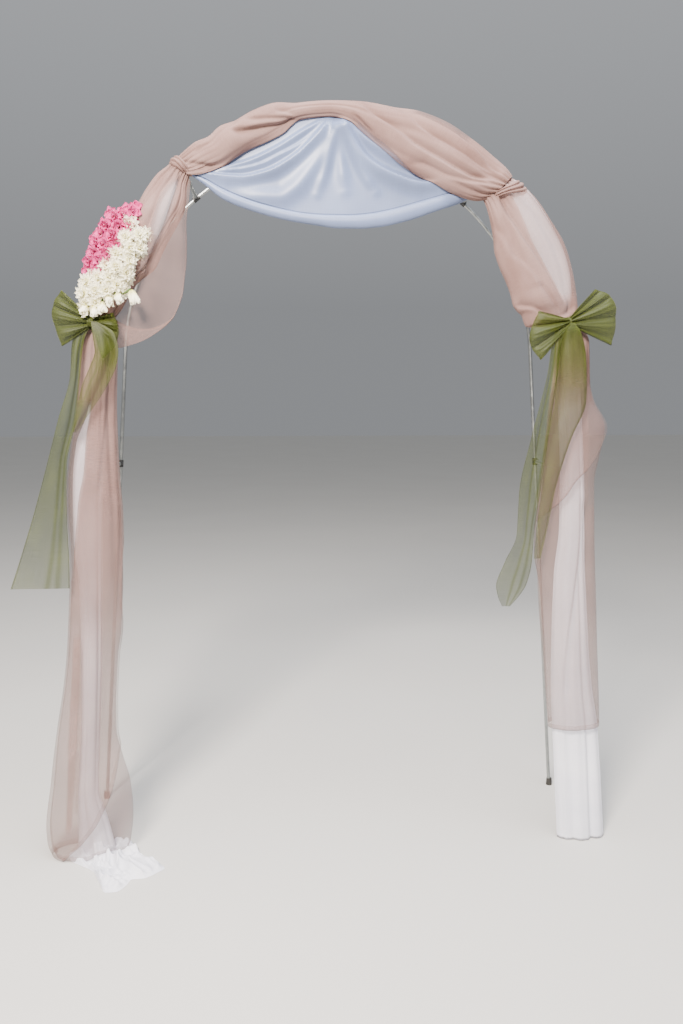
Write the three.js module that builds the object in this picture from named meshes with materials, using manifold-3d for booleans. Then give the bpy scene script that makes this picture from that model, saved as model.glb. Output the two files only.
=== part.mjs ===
// A draped wedding arch: a light steel tube arch of two matching hoops joined by short rungs,
// dressed on its front hoop with white lining cloth, dusty rose voile, a white satin swag,
// two olive organza bows and a spray of silk flowers.
//
// Millimetres, +Z up. The model is laid out in the arch's own frame: x = 0 and y = 0 midway
// between the feet, +X to the right and +Y away from the side that is dressed. At the end it
// is moved so that the middle of its bottom is the origin.
import * as THREE from 'three';
import { mergeVertices } from 'three/addons/utils/BufferGeometryUtils.js';
import Module from 'manifold-3d';

const wasm = await Module();
wasm.setup();

// Driving sizes of the frame
const HALF_FOOT = 820;
const HALF_SPRING = 700;
const SPRING_HEIGHT = 1620;
const HOOP_GAP = 380;
const TUBE_RADIUS = 6.35;
const LEG_JOINT_HEIGHT = 1220;
const ARC_JOINT_ANGLE = 50;
const COUPLER_RADIUS = 9;
const COUPLER_LENGTH = 24;
const SOCKET_REACH = 24;
const CAP_RADIUS = 11;
const CAP_HEIGHT = 25;
const GAP = 0.4;

// The hoop: a straight leaning leg, a round arc that the leg meets as a tangent, a second leg
const LEAN = Math.atan((HALF_FOOT - HALF_SPRING) / SPRING_HEIGHT);
const ARC_RADIUS = HALF_SPRING / Math.cos(LEAN);
const ARC_CENTRE = SPRING_HEIGHT - ARC_RADIUS * Math.sin(LEAN);
const LEG_LENGTH = SPRING_HEIGHT / Math.cos(LEAN);
const ARC_LENGTH = ARC_RADIUS * (Math.PI - 2 * LEAN);
const HOOP_LENGTH = 2 * LEG_LENGTH + ARC_LENGTH;
const FRONT = -HOOP_GAP / 2;
const BACK = HOOP_GAP / 2;
const LEFT = -1;
const RIGHT = 1;

// Number of flat sides on round work
const TUBE_SIDES = 12;
const FITTING_SIDES = 12;
const CLOTH_SIDES = 12;
const ARC_STEP = 5;
const LEG_STEP = 200;
const SHOULDER_STEPS = 20;
const CROWN_STEPS = 16;

// Distance along a hoop from its left foot, for a height on a leg or an angle above the spring
function atHeight(side, height) {
  const length = height / Math.cos(LEAN);
  return side === LEFT ? length : HOOP_LENGTH - length;
}

function atAngle(side, degrees) {
  const length = LEG_LENGTH + ARC_RADIUS * (THREE.MathUtils.degToRad(degrees) - LEAN);
  return side === LEFT ? length : HOOP_LENGTH - length;
}

// Place, direction of travel and outward direction at a distance along the hoop. Outward is
// level at the foot and turns with the leg, so that a hem is level where it meets the ground.
function hoopFrame(distance, depth) {
  const onRight = distance > HOOP_LENGTH / 2;
  const along = onRight ? HOOP_LENGTH - distance : distance;
  const side = onRight ? RIGHT : LEFT;
  let angle = LEAN;
  let facing = (LEAN * along) / LEG_LENGTH;
  let x = HALF_FOOT - along * Math.sin(LEAN);
  let z = along * Math.cos(LEAN);
  if (along > LEG_LENGTH) {
    angle = LEAN + (along - LEG_LENGTH) / ARC_RADIUS;
    facing = angle;
    x = ARC_RADIUS * Math.cos(angle);
    z = ARC_CENTRE + ARC_RADIUS * Math.sin(angle);
  }
  return {
    place: new THREE.Vector3(side * x, depth, z),
    outward: new THREE.Vector3(side * Math.cos(facing), 0, Math.sin(facing)),
    along: new THREE.Vector3(Math.sin(angle), 0, -side * Math.cos(angle)),
  };
}

class HoopStretch extends THREE.Curve {
  constructor(from, to, depth) {
    super();
    this.from = from;
    this.to = to;
    this.depth = depth;
  }

  getPoint(t) {
    return hoopFrame(this.from + (this.to - this.from) * t, this.depth).place;
  }
}

// Finishes
function finish(color, roughness, metalness) {
  return new THREE.MeshStandardMaterial({ color, roughness, metalness });
}

const materials = {
  zinc: () => finish(0x9a9d9c, 0.35, 0.9),
  blackPlastic: () => finish(0x161616, 0.5, 0),
  rubber: () => finish(0x202020, 0.8, 0),
  lining: () => finish(0xe4e4ee, 0.85, 0),
  voile: () => finish(0xc3a79d, 0.8, 0),
  satin: () => finish(0xe9edf6, 0.4, 0),
  organza: () => finish(0x7c8042, 0.6, 0),
  pinkSilk: () => finish(0xd074a4, 0.8, 0),
  creamSilk: () => finish(0xf3f0df, 0.8, 0),
};

const arch = new THREE.Group();

function addPiece(name, geometry, material) {
  const mesh = new THREE.Mesh(geometry, material());
  mesh.name = name;
  arch.add(mesh);
  return mesh;
}

// Closed solids: joining, cutting and the way back to a mesh
function toSolid(geometry) {
  const bare = geometry.clone();
  bare.deleteAttribute('normal');
  bare.deleteAttribute('uv');
  const merged = mergeVertices(bare, 1e-4);
  return new wasm.Manifold(new wasm.Mesh({
    numProp: 3,
    vertProperties: new Float32Array(merged.attributes.position.array),
    triVerts: new Uint32Array(merged.index.array),
  }));
}

function toGeometry(solid) {
  const mesh = solid.getMesh();
  const geometry = new THREE.BufferGeometry();
  geometry.setAttribute('position', new THREE.BufferAttribute(mesh.vertProperties, 3));
  geometry.setIndex(new THREE.BufferAttribute(mesh.triVerts, 1));
  geometry.computeVertexNormals();
  return geometry;
}

function joined(geometries) {
  return geometries.map(toSolid).reduce((whole, next) => whole.add(next));
}

function signedVolume(points, triangles) {
  const [a, b, c] = [new THREE.Vector3(), new THREE.Vector3(), new THREE.Vector3()];
  let volume = 0;
  for (let i = 0; i < triangles.length; i += 3) {
    a.copy(points[triangles[i]]);
    b.copy(points[triangles[i + 1]]);
    c.copy(points[triangles[i + 2]]);
    volume += a.dot(b.cross(c));
  }
  return volume;
}

function closedGeometry(points, triangles) {
  if (signedVolume(points, triangles) < 0) {
    triangles.reverse();
  }
  const geometry = new THREE.BufferGeometry().setFromPoints(points);
  geometry.setIndex(triangles);
  geometry.computeVertexNormals();
  return geometry;
}

// Skin between a list of rings with equal counts of points, as pairs of triangles
function skin(rings, first, flipped, triangles) {
  const count = rings[0].length;
  for (let r = 0; r + 1 < rings.length; r += 1) {
    for (let i = 0; i < count; i += 1) {
      const a = first + r * count + i;
      const b = first + r * count + (i + 1) % count;
      const [c, d] = [a + count, b + count];
      triangles.push(...(flipped ? [a, c, b, b, c, d] : [a, b, c, b, d, c]));
    }
  }
}

// A solid skinned over rings and closed by a fan at each end
function loft(rings) {
  const count = rings[0].length;
  const points = rings.flat();
  const triangles = [];
  skin(rings, 0, false, triangles);
  const lids = [[rings[0], 0, true], [rings.at(-1), points.length - count, false]];
  for (const [ring, start, flipped] of lids) {
    const centre = points.length;
    points.push(ring.reduce((sum, p) => sum.add(p), new THREE.Vector3()).divideScalar(count));
    for (let i = 0; i < count; i += 1) {
      const pair = [start + i, start + (i + 1) % count];
      triangles.push(...(flipped ? pair.reverse() : pair), centre);
    }
  }
  return closedGeometry(points, triangles);
}

// A hollow solid between outer rings and inner rings, closed by a flat band at each end
function hollowLoft(outer, inner) {
  const count = outer[0].length;
  const points = [...outer.flat(), ...inner.flat()];
  const innerStart = outer.length * count;
  const triangles = [];
  skin(outer, 0, false, triangles);
  skin(inner, innerStart, true, triangles);
  for (const [shift, flipped] of [[0, false], [(outer.length - 1) * count, true]]) {
    for (let i = 0; i < count; i += 1) {
      const a = shift + i;
      const b = shift + (i + 1) % count;
      const quad = [a, a + innerStart, b, b, a + innerStart, b + innerStart];
      triangles.push(...(flipped ? quad.reverse() : quad));
    }
  }
  return closedGeometry(points, triangles);
}

// Cloth gathered round a hoop. A station says how far the cloth reaches from the tube's centre:
// outward, inward (towards the opening), to the front and to the back.
const station = (at, out, inward, front, back = front) => ({ at, reach: [out, inward, front, back] });

function reachAt(stations, at) {
  const ordered = [...stations].sort((p, q) => p.at - q.at);
  if (at <= ordered[0].at) {
    return ordered[0].reach;
  }
  const next = ordered.findIndex((p) => p.at >= at);
  if (next < 0) {
    return ordered.at(-1).reach;
  }
  const [low, high] = [ordered[next - 1], ordered[next]];
  const blend = THREE.MathUtils.smoothstep(at, low.at, high.at);
  return low.reach.map((value, i) => THREE.MathUtils.lerp(value, high.reach[i], blend));
}

function ring(at, reach, depth = FRONT) {
  const { place, outward } = hoopFrame(at, depth);
  const [out, inward, front, back] = reach;
  return Array.from({ length: CLOTH_SIDES }, (_, i) => {
    const turn = (2 * Math.PI * (i + 0.5)) / CLOTH_SIDES;
    const side = (out - inward) / 2 + ((out + inward) / 2) * Math.cos(turn);
    const forth = (back - front) / 2 + ((front + back) / 2) * Math.sin(turn);
    return place.clone().addScaledVector(outward, side).add(new THREE.Vector3(0, forth, 0));
  });
}

const grown = (reach, by) => reach.map((value) => value + by);

// The radius whose flat sides still clear a round bar of the given radius
const boreFor = (radius, clearance) => (radius + clearance) / Math.cos(Math.PI / CLOTH_SIDES);
const boreReach = (radius, clearance) => Array(4).fill(boreFor(radius, clearance));

// Clearance round a coupler: a bend needs more than a straight leg, as its facets cut inward
const BEND_CLEARANCE = 1.1;
const LEG_CLEARANCE = GAP;
const CAP_CLEARANCE = 2.4;

function clothBore(at) {
  const along = Math.min(at, HOOP_LENGTH - at);
  if (along < CAP_HEIGHT + LEG_STEP / 2) {
    return boreReach(CAP_RADIUS, CAP_CLEARANCE);
  }
  return boreReach(COUPLER_RADIUS, along > LEG_LENGTH ? BEND_CLEARANCE : LEG_CLEARANCE);
}

// All sleeves share these ring places, so that nested skins stay parallel
const LEFT_KNOT = { side: LEFT, low: 47.8, high: 52.2 };
const RIGHT_KNOT = { side: RIGHT, low: 42.3, high: 46.7 };
const BOW_ANGLE = { left: 7.5, right: 8.4 };
const BAND_HALF_ANGLE = 1.8;
const SEAM_ANGLE = 0.04;
const HEM_CLEARANCE = 10.6;
const RIGHT_HEM_HEIGHT = 385;
const TRAIN_THICKNESS = 10;

const leftBandLow = atAngle(LEFT, BOW_ANGLE.left - BAND_HALF_ANGLE);
const leftBandHigh = atAngle(LEFT, BOW_ANGLE.left + BAND_HALF_ANGLE);
const rightBandLow = atAngle(RIGHT, BOW_ANGLE.right - BAND_HALF_ANGLE);
const rightBandHigh = atAngle(RIGHT, BOW_ANGLE.right + BAND_HALF_ANGLE);

const ends = {
  leftFloor: atHeight(LEFT, HEM_CLEARANCE),
  leftSeamLow: leftBandLow - GAP,
  leftSeamHigh: leftBandLow,
  leftBand: leftBandHigh,
  leftTop: atAngle(LEFT, LEFT_KNOT.low - SEAM_ANGLE),
  crownLeft: atAngle(LEFT, LEFT_KNOT.high + SEAM_ANGLE),
  crownRight: atAngle(RIGHT, RIGHT_KNOT.high + SEAM_ANGLE),
  rightTop: atAngle(RIGHT, RIGHT_KNOT.low - SEAM_ANGLE),
  rightBand: rightBandHigh,
  rightSeamHigh: rightBandLow,
  rightSeamLow: rightBandLow + GAP,
  rightHem: atHeight(RIGHT, RIGHT_HEM_HEIGHT),
  rightFloor: atHeight(RIGHT, 1),
};

const ringPlaces = (() => {
  const places = new Set(Object.values(ends));
  for (const side of [LEFT, RIGHT]) {
    for (let angle = 10; angle <= 90; angle += ARC_STEP) {
      places.add(atAngle(side, angle));
    }
    for (let height = LEG_STEP; height <= SPRING_HEIGHT; height += LEG_STEP) {
      places.add(atHeight(side, height));
    }
  }
  const sorted = [...places].sort((p, q) => p - q);
  return sorted.filter((at, i) => i === 0 || at - sorted[i - 1] > GAP / 2);
})();

const placesBetween = (from, to) => ringPlaces.filter((at) => at >= from - 1e-6 && at <= to + 1e-6);

// A sleeve of cloth from one place on the hoop to another, over what it is wrapped round
function sleeve(from, to, stations, insideOf) {
  const places = placesBetween(from, to);
  return hollowLoft(
    places.map((at) => ring(at, reachAt(stations, at))),
    places.map((at) => ring(at, insideOf(at))),
  );
}

// The same form without its bore and a little larger, to cut clearance in a neighbour
function envelope(from, to, stations) {
  const places = placesBetween(from, to);
  return toSolid(loft(places.map((at) => ring(at, grown(reachAt(stations, at), GAP)))));
}

// Frame: tubes
function tube(name, from, to, depth, steps) {
  const corner = (_, i) => {
    const turn = (2 * Math.PI * i) / TUBE_SIDES;
    return new THREE.Vector2(TUBE_RADIUS * Math.cos(turn), TUBE_RADIUS * Math.sin(turn));
  };
  const outline = new THREE.Shape(Array.from({ length: TUBE_SIDES }, corner));
  const path = new HoopStretch(from, to, depth);
  const geometry = new THREE.ExtrudeGeometry(outline, { steps, extrudePath: path, curveSegments: 1 });
  addPiece(name, geometry, materials.zinc);
}

const CAP_FLOOR = 4;
const TUBE_END_GAP = 0.5;
const hoops = [['front', FRONT, 1], ['back', BACK, -1]];
const sides = [['left', LEFT], ['right', RIGHT]];

for (const [row, depth] of hoops) {
  for (const [hand, side] of sides) {
    const joint = atHeight(side, LEG_JOINT_HEIGHT);
    const bend = atAngle(side, ARC_JOINT_ANGLE);
    const foot = atHeight(side, CAP_FLOOR + TUBE_END_GAP);
    const along = side === LEFT ? 1 : -1;
    tube(`${row}_${hand}_leg_tube`, foot, joint - along * GAP, depth, 1);
    tube(`${row}_${hand}_shoulder_tube`, joint + along * GAP, bend - along * GAP, depth, SHOULDER_STEPS);
  }
  const start = atAngle(LEFT, ARC_JOINT_ANGLE) + GAP;
  tube(`${row}_crown_tube`, start, atAngle(RIGHT, ARC_JOINT_ANGLE) - GAP, depth, CROWN_STEPS);
}

// Frame: couplers, each with a socket towards the other hoop for a rung
function cylinderAlong(direction, centre, radius, length) {
  const geometry = new THREE.CylinderGeometry(radius, radius, length, FITTING_SIDES);
  const turn = new THREE.Quaternion().setFromUnitVectors(new THREE.Vector3(0, 1, 0), direction);
  geometry.applyQuaternion(turn);
  geometry.translate(centre.x, centre.y, centre.z);
  return geometry;
}

const FIT_CLEARANCE = 0.6;
const BORE_RADIUS = (TUBE_RADIUS + FIT_CLEARANCE) / Math.cos(Math.PI / FITTING_SIDES);
const RUNG_AXIS = new THREE.Vector3(0, 1, 0);

function addCoupler(name, at, depth, inward) {
  const { place, along } = hoopFrame(at, depth);
  const socketMiddle = place.clone().addScaledVector(RUNG_AXIS, (inward * SOCKET_REACH) / 2);
  const socketBore = place.clone().addScaledVector(RUNG_AXIS, inward * SOCKET_REACH);
  const body = joined([
    cylinderAlong(along, place, COUPLER_RADIUS, COUPLER_LENGTH),
    cylinderAlong(RUNG_AXIS, socketMiddle, COUPLER_RADIUS, SOCKET_REACH),
  ])
    .subtract(toSolid(cylinderAlong(along, place, BORE_RADIUS, 2 * COUPLER_LENGTH)))
    .subtract(toSolid(cylinderAlong(RUNG_AXIS, socketBore, BORE_RADIUS, 2 * SOCKET_REACH)));
  addPiece(name, toGeometry(body), materials.blackPlastic);
}

const RUNG_END_GAP = 2;

function addRung(name, at) {
  const { place } = hoopFrame(at, 0);
  const length = HOOP_GAP - 2 * (TUBE_RADIUS + RUNG_END_GAP);
  const geometry = new THREE.CylinderGeometry(TUBE_RADIUS, TUBE_RADIUS, length, TUBE_SIDES);
  geometry.translate(place.x, place.y, place.z);
  addPiece(name, geometry, materials.zinc);
}

for (const [hand, side] of sides) {
  const joints = [['leg', atHeight(side, LEG_JOINT_HEIGHT)], ['arc', atAngle(side, ARC_JOINT_ANGLE)]];
  for (const [level, at] of joints) {
    for (const [row, depth, inward] of hoops) {
      addCoupler(`${row}_${hand}_${level}_coupler`, at, depth, inward);
    }
    addRung(`${hand}_${level}_rung`, at);
  }
}

// Frame: rubber caps on the feet, cups with a level sole
for (const [row, depth] of hoops) {
  for (const [hand, side] of sides) {
    const { place } = hoopFrame(atHeight(side, 0), depth);
    const cup = new THREE.CylinderGeometry(CAP_RADIUS - 1, CAP_RADIUS, CAP_HEIGHT, FITTING_SIDES);
    cup.rotateX(Math.PI / 2);
    cup.translate(place.x, place.y, CAP_HEIGHT / 2);
    const middle = hoopFrame(atHeight(side, CAP_FLOOR + CAP_HEIGHT), depth);
    const pocket = cylinderAlong(middle.along, middle.place, BORE_RADIUS, 2 * CAP_HEIGHT);
    const cap = toSolid(cup).subtract(toSolid(pocket));
    addPiece(`${row}_${hand}_foot_cap`, toGeometry(cap), materials.rubber);
  }
}

// A slit where a rung leaves the front hoop and passes through the cloth behind it
function slitFor(at) {
  const middle = hoopFrame(at, 0).place;
  return toSolid(cylinderAlong(RUNG_AXIS, middle, boreFor(COUPLER_RADIUS, GAP), HOOP_GAP));
}

const slits = {
  leftLeg: slitFor(atHeight(LEFT, LEG_JOINT_HEIGHT)),
  rightLeg: slitFor(atHeight(RIGHT, LEG_JOINT_HEIGHT)),
  leftArc: slitFor(atAngle(LEFT, ARC_JOINT_ANGLE)),
  rightArc: slitFor(atAngle(RIGHT, ARC_JOINT_ANGLE)),
};

function addCloth(name, geometry, slit, material) {
  addPiece(name, toGeometry(toSolid(geometry).subtract(slit)), material);
}

// White lining: a long sleeve of cloth over the front tube, from each knot down to the ground
const liningStations = {
  left: [
    station(atAngle(LEFT, 48), 16, 20, 18),
    station(atAngle(LEFT, 43), 16, 45, 24),
    station(atAngle(LEFT, 34), 16, 58, 30),
    station(atAngle(LEFT, 24), 16, 54, 30),
    station(atAngle(LEFT, BOW_ANGLE.left), 24, 26, 26),
    station(atHeight(LEFT, 1500), 28, 34, 30),
    station(atHeight(LEFT, 1000), 28, 52, 36),
    station(atHeight(LEFT, 400), 26, 60, 42),
    station(atHeight(LEFT, 0), 30, 66, 46),
  ],
  right: [
    station(atAngle(RIGHT, 42.5), 40, 20, 20),
    station(atAngle(RIGHT, 36), 42, 60, 26),
    station(atAngle(RIGHT, 24), 42, 84, 30),
    station(atAngle(RIGHT, 15), 36, 66, 30),
    station(atAngle(RIGHT, BOW_ANGLE.right), 24, 24, 26),
    station(atHeight(RIGHT, 1500), 44, 38, 30),
    station(atHeight(RIGHT, 1000), 54, 80, 34),
    station(atHeight(RIGHT, 500), 60, 90, 38),
    station(atHeight(RIGHT, 0), 69, 98, 42),
  ],
};
const liningOf = (hand) => (at) => grown(reachAt(liningStations[hand], at), GAP);

const leftLining = sleeve(ends.leftFloor, ends.leftTop, liningStations.left, clothBore);
const rightLining = sleeve(ends.rightTop, ends.rightFloor, liningStations.right, clothBore);
addCloth('left_lining', leftLining, slits.leftLeg, materials.lining);
addCloth('right_lining', rightLining, slits.rightLeg, materials.lining);

// Rose voile over the lining: shoulders from knot to bow, then the leg drapes below the bows
const shoulderStations = {
  left: [
    station(atAngle(LEFT, 48), 34, 28, 26),
    station(atAngle(LEFT, 43.8), 40, 66, 34),
    station(atAngle(LEFT, 37), 24, 96, 42),
    station(atAngle(LEFT, 29), 22, 109, 46),
    station(atAngle(LEFT, 19), 24, 76, 44),
    station(atAngle(LEFT, 12), 34, 50, 38),
    station(leftBandHigh, 34, 36, 34),
    station(leftBandLow, 34, 36, 34),
  ],
  right: [
    station(atAngle(RIGHT, 42.5), 52, 74, 34),
    station(atAngle(RIGHT, 36), 56, 126, 42),
    station(atAngle(RIGHT, 27), 63, 153, 50),
    station(atAngle(RIGHT, 17), 52, 150, 50),
    station(atAngle(RIGHT, 12.5), 48, 124, 44),
    station(rightBandHigh, 34, 36, 34),
    station(rightBandLow, 32, 34, 34),
  ],
};
const legStations = {
  left: [
    station(atHeight(LEFT, 1640), 34, 36, 34),
    station(atHeight(LEFT, 1560), 66, 47, 46),
    station(atHeight(LEFT, 1400), 73, 52, 54),
    station(atHeight(LEFT, 1180), 92, 72, 61),
    station(atHeight(LEFT, 1000), 79, 84, 64),
    station(atHeight(LEFT, 800), 73, 90, 66),
    station(atHeight(LEFT, 600), 78, 92, 69),
    station(atHeight(LEFT, 400), 98, 100, 72),
    station(atHeight(LEFT, 240), 111, 150, 76),
    station(atHeight(LEFT, 110), 122, 166, 78),
    station(atHeight(LEFT, 0), 100, 120, 70),
  ],
  right: [
    station(atHeight(RIGHT, 1640), 32, 34, 34),
    station(atHeight(RIGHT, 1570), 76, 46, 44),
    station(atHeight(RIGHT, 1470), 78, 58, 50),
    station(atHeight(RIGHT, 1345), 122, 74, 54),
    station(atHeight(RIGHT, 1200), 88, 100, 58),
    station(atHeight(RIGHT, 802), 73, 134, 64),
    station(atHeight(RIGHT, 500), 72, 114, 62),
    station(atHeight(RIGHT, 380), 72, 102, 54),
  ],
};

const voileSleeves = {
  left_shoulder_voile: [ends.leftSeamHigh, ends.leftTop, shoulderStations.left, 'left', slits.leftArc],
  right_shoulder_voile: [ends.rightTop, ends.rightSeamHigh, shoulderStations.right, 'right', slits.rightArc],
  left_leg_voile: [ends.leftFloor, ends.leftSeamLow, legStations.left, 'left', slits.leftLeg],
  right_leg_voile: [ends.rightSeamLow, ends.rightHem, legStations.right, 'right', slits.rightLeg],
};
for (const [name, [from, to, stations, hand, slit]] of Object.entries(voileSleeves)) {
  addCloth(name, sleeve(from, to, stations, liningOf(hand)), slit, materials.voile);
}

// Rose voile wound along the crown, full either side of the middle and narrow at the peak
const crownStations = [
  station(atAngle(LEFT, 52.3), 34, 26, 28),
  station(atAngle(LEFT, 58), 26, 92, 40),
  station(atAngle(LEFT, 66), 42, 99, 42),
  station(atAngle(LEFT, 74), 44, 52, 36),
  station(atAngle(LEFT, 81), 37, 16, 26),
  station(atAngle(LEFT, 88), 34, 14, 24),
  station(atAngle(RIGHT, 84), 37, 57, 34),
  station(atAngle(RIGHT, 71), 56, 126, 44),
  station(atAngle(RIGHT, 61), 50, 133, 46),
  station(atAngle(RIGHT, 52), 49, 107, 42),
  station(atAngle(RIGHT, 46.7), 50, 60, 34),
];
const crownDrape = sleeve(ends.crownLeft, ends.crownRight, crownStations, clothBore);
addCloth('crown_voile', crownDrape, slits.rightArc, materials.voile);

// Rose knots where the crown drape is tied to the shoulders, fullest in the middle
const KNOT_SWELL = [0.82, 0.95, 1, 0.95, 0.82];
const LEFT_KNOT_CLEARANCE = 0.5;
const RIGHT_KNOT_CLEARANCE = 0.9;

function addKnot(name, { side, low, high }, bore, middleReach, slit) {
  const middle = (low + high) / 2;
  const angles = [low, (low + middle) / 2, middle, (middle + high) / 2, high];
  const places = angles.map((angle) => atAngle(side, angle));
  const outer = places.map((at, i) => ring(at, middleReach.map((value) => value * KNOT_SWELL[i])));
  addCloth(name, hollowLoft(outer, places.map((at) => ring(at, bore))), slit, materials.voile);
}

const leftKnotBore = boreReach(COUPLER_RADIUS, LEFT_KNOT_CLEARANCE);
const rightKnotBore = boreReach(TUBE_RADIUS, RIGHT_KNOT_CLEARANCE);
addKnot('left_knot', LEFT_KNOT, leftKnotBore, [38, 24, 32, 30], slits.leftArc);
addKnot('right_knot', RIGHT_KNOT, rightKnotBore, [55, 34, 36, 32], slits.rightArc);

// What the swag, bows and flowers must stay clear of
const around = {
  crown: envelope(ends.crownLeft, ends.crownRight, crownStations),
  leftShoulder: envelope(ends.leftSeamHigh, ends.leftTop, shoulderStations.left),
  rightShoulder: envelope(ends.rightTop, ends.rightSeamHigh, shoulderStations.right),
  leftLeg: envelope(ends.leftFloor, ends.leftSeamLow, legStations.left),
  rightLeg: envelope(ends.rightSeamLow, ends.rightHem, legStations.right),
};

// White satin swag: a fan of cloth that hangs from the peak and the knots, with a thick hem
const SWAG_THICKNESS = 8;
const HEM_HEIGHT = 36;
const HEM_THICKNESS = 26;
const HEM_ROUNDING = 0.25 * HEM_HEIGHT;
const swagEdge = [
  { x: -395, top: 2130, hem: 2074 },
  { x: -330, top: 2150, hem: 2035 },
  { x: -240, top: 2190, hem: 1999 },
  { x: -120, top: 2262, hem: 1971 },
  { x: 0, top: 2262, hem: 1961 },
  { x: 120, top: 2230, hem: 1962 },
  { x: 240, top: 2170, hem: 1984 },
  { x: 330, top: 2120, hem: 2010 },
  { x: 420, top: 2090, hem: 2044 },
];
const swagProfile = (top, hem) => {
  const web = SWAG_THICKNESS / 2;
  const roll = HEM_THICKNESS / 2;
  const front = [
    [-web, top],
    [-web, hem + HEM_HEIGHT],
    [-roll, hem + HEM_HEIGHT - HEM_ROUNDING],
    [-roll, hem + HEM_ROUNDING],
    [-web, hem],
  ];
  return [...front, ...front.map(([y, z]) => [-y, z]).reverse()];
};
const swagRings = swagEdge.map(({ x, top, hem }) => (
  swagProfile(top, hem).map(([y, z]) => new THREE.Vector3(x, FRONT + y, z))
));
const swag = toSolid(loft(swagRings)).subtract(around.crown);
addPiece('swag', toGeometry(swag), materials.satin);

// A flat outline in the plane of the hoop, given thickness between two depths
function slab(outline, front, back) {
  const shape = new THREE.Shape(outline.map(([x, z]) => new THREE.Vector2(x, z)));
  const geometry = new THREE.ExtrudeGeometry(shape, { depth: back - front, bevelEnabled: false });
  geometry.rotateX(Math.PI / 2);
  geometry.translate(0, back, 0);
  return geometry;
}

// The single sheer layer that hangs as a loop inside the left shoulder
const SHEER_HALF = 6;
const leftLoopOutline = [
  [-470, 2000], [-448, 1950], [-445, 1891], [-447, 1820], [-463, 1733], [-495, 1660], [-555, 1610],
  [-599, 1598], [-640, 1628], [-652, 1710], [-620, 1850], [-540, 1960],
];
const leftLoop = toSolid(slab(leftLoopOutline, FRONT - SHEER_HALF, FRONT + SHEER_HALF));
addPiece('left_shoulder_loop', toGeometry(leftLoop.subtract(around.leftShoulder)), materials.voile);

// Olive organza bows: a band round the pinched voile, a knot in front and two spread loops
const BAND_THICKNESS = 6;
const KNOT_HALF = 22;

function knotLump({ x, z }, depth) {
  const lump = new THREE.IcosahedronGeometry(KNOT_HALF, 1);
  lump.scale(1, 0.8, 1);
  lump.translate(x, depth, z);
  return lump;
}

function addBow(name, { low, high, knot, knotDepth, loops, insideOf, clearOf }) {
  const places = [low, (low + high) / 2, high];
  const inner = places.map((at) => grown(insideOf(at), GAP));
  const band = hollowLoft(
    places.map((at, i) => ring(at, grown(inner[i], BAND_THICKNESS))),
    places.map((at, i) => ring(at, inner[i])),
  );
  const spread = loops.map(({ outline, front, back }) => slab(outline, front, back));
  const whole = joined([band, knotLump(knot, knotDepth), ...spread]);
  const bow = clearOf.reduce((rest, other) => rest.subtract(other), whole);
  addPiece(name, toGeometry(bow), materials.organza);
  return bow;
}

const BAND_MARGIN = 2;
const leftBow = addBow('left_bow', {
  low: leftBandLow + BAND_MARGIN,
  high: leftBandHigh - BAND_MARGIN,
  knot: { x: -716, z: 1664 },
  knotDepth: -242,
  insideOf: (at) => reachAt(shoulderStations.left, at),
  clearOf: [around.leftShoulder, around.leftLeg],
  loops: [
    {
      front: -246,
      back: -232,
      outline: [
        [-712, 1674], [-797, 1749], [-822, 1724], [-828, 1684], [-807, 1594], [-765, 1640], [-716, 1652],
      ],
    },
    {
      front: -254,
      back: -240,
      outline: [[-722, 1672], [-650, 1662], [-643, 1632], [-694, 1560], [-712, 1610], [-722, 1650]],
    },
  ],
});
const rightBow = addBow('right_bow', {
  low: rightBandHigh + BAND_MARGIN,
  high: rightBandLow - BAND_MARGIN,
  knot: { x: 693, z: 1671 },
  knotDepth: -242,
  insideOf: (at) => reachAt(shoulderStations.right, at),
  clearOf: [around.rightShoulder, around.rightLeg],
  loops: [
    {
      front: -250,
      back: -236,
      outline: [[690, 1682], [769, 1765], [832, 1736], [834, 1677], [825, 1603], [706, 1659]],
    },
    {
      front: -256,
      back: -242,
      outline: [[690, 1684], [640, 1676], [578, 1660], [574, 1602], [596, 1558], [640, 1617], [690, 1656]],
    },
  ],
});

// Organza tails: flat ribbons that fall from the knots in front of the leg drapes
const TAIL_THICKNESS = 5;

function addTail(name, stations, clearOf) {
  const rings = stations.map(([left, right, z, front]) => {
    const back = front + TAIL_THICKNESS;
    const corners = [[left, front], [right, front], [right, back], [left, back]];
    return corners.map(([x, y]) => new THREE.Vector3(x, y, z));
  });
  const solid = clearOf.reduce((whole, other) => whole.subtract(other), toSolid(loft(rings)));
  addPiece(name, toGeometry(solid), materials.organza);
}

// Stations: left edge, right edge, height and front face
addTail('left_bow_front_tail', [
  [-730, -702, 1668, -265],
  [-733, -668, 1638, -268],
  [-728, -655, 1580, -268],
  [-733, -655, 1537, -266],
  [-752, -690, 1460, -262],
  [-768, -740, 1390, -262],
  [-783, -774, 1345, -262],
], [around.leftLeg, leftBow]);
addTail('left_bow_side_tail', [
  [-772, -738, 1632, -236],
  [-789, -755, 1500, -236],
  [-824, -768, 1387, -244],
  [-861, -800, 1252, -252],
  [-906, -806, 1098, -260],
  [-945, -803, 980, -264],
  [-981, -806, 880, -266],
], [around.leftLeg, leftBow]);
addTail('right_bow_inner_tail', [
  [682, 693, 1674, -264.2],
  [640, 668, 1640, -272],
  [622, 656, 1510, -266],
  [576, 626, 1312, -262],
  [546, 612, 1165, -262],
  [547, 598, 1029, -262],
  [508, 596, 940, -262],
  [484, 580, 868, -262],
  [492, 560, 836, -262],
  [506, 530, 803, -262],
], [around.rightLeg, rightBow]);
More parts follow.
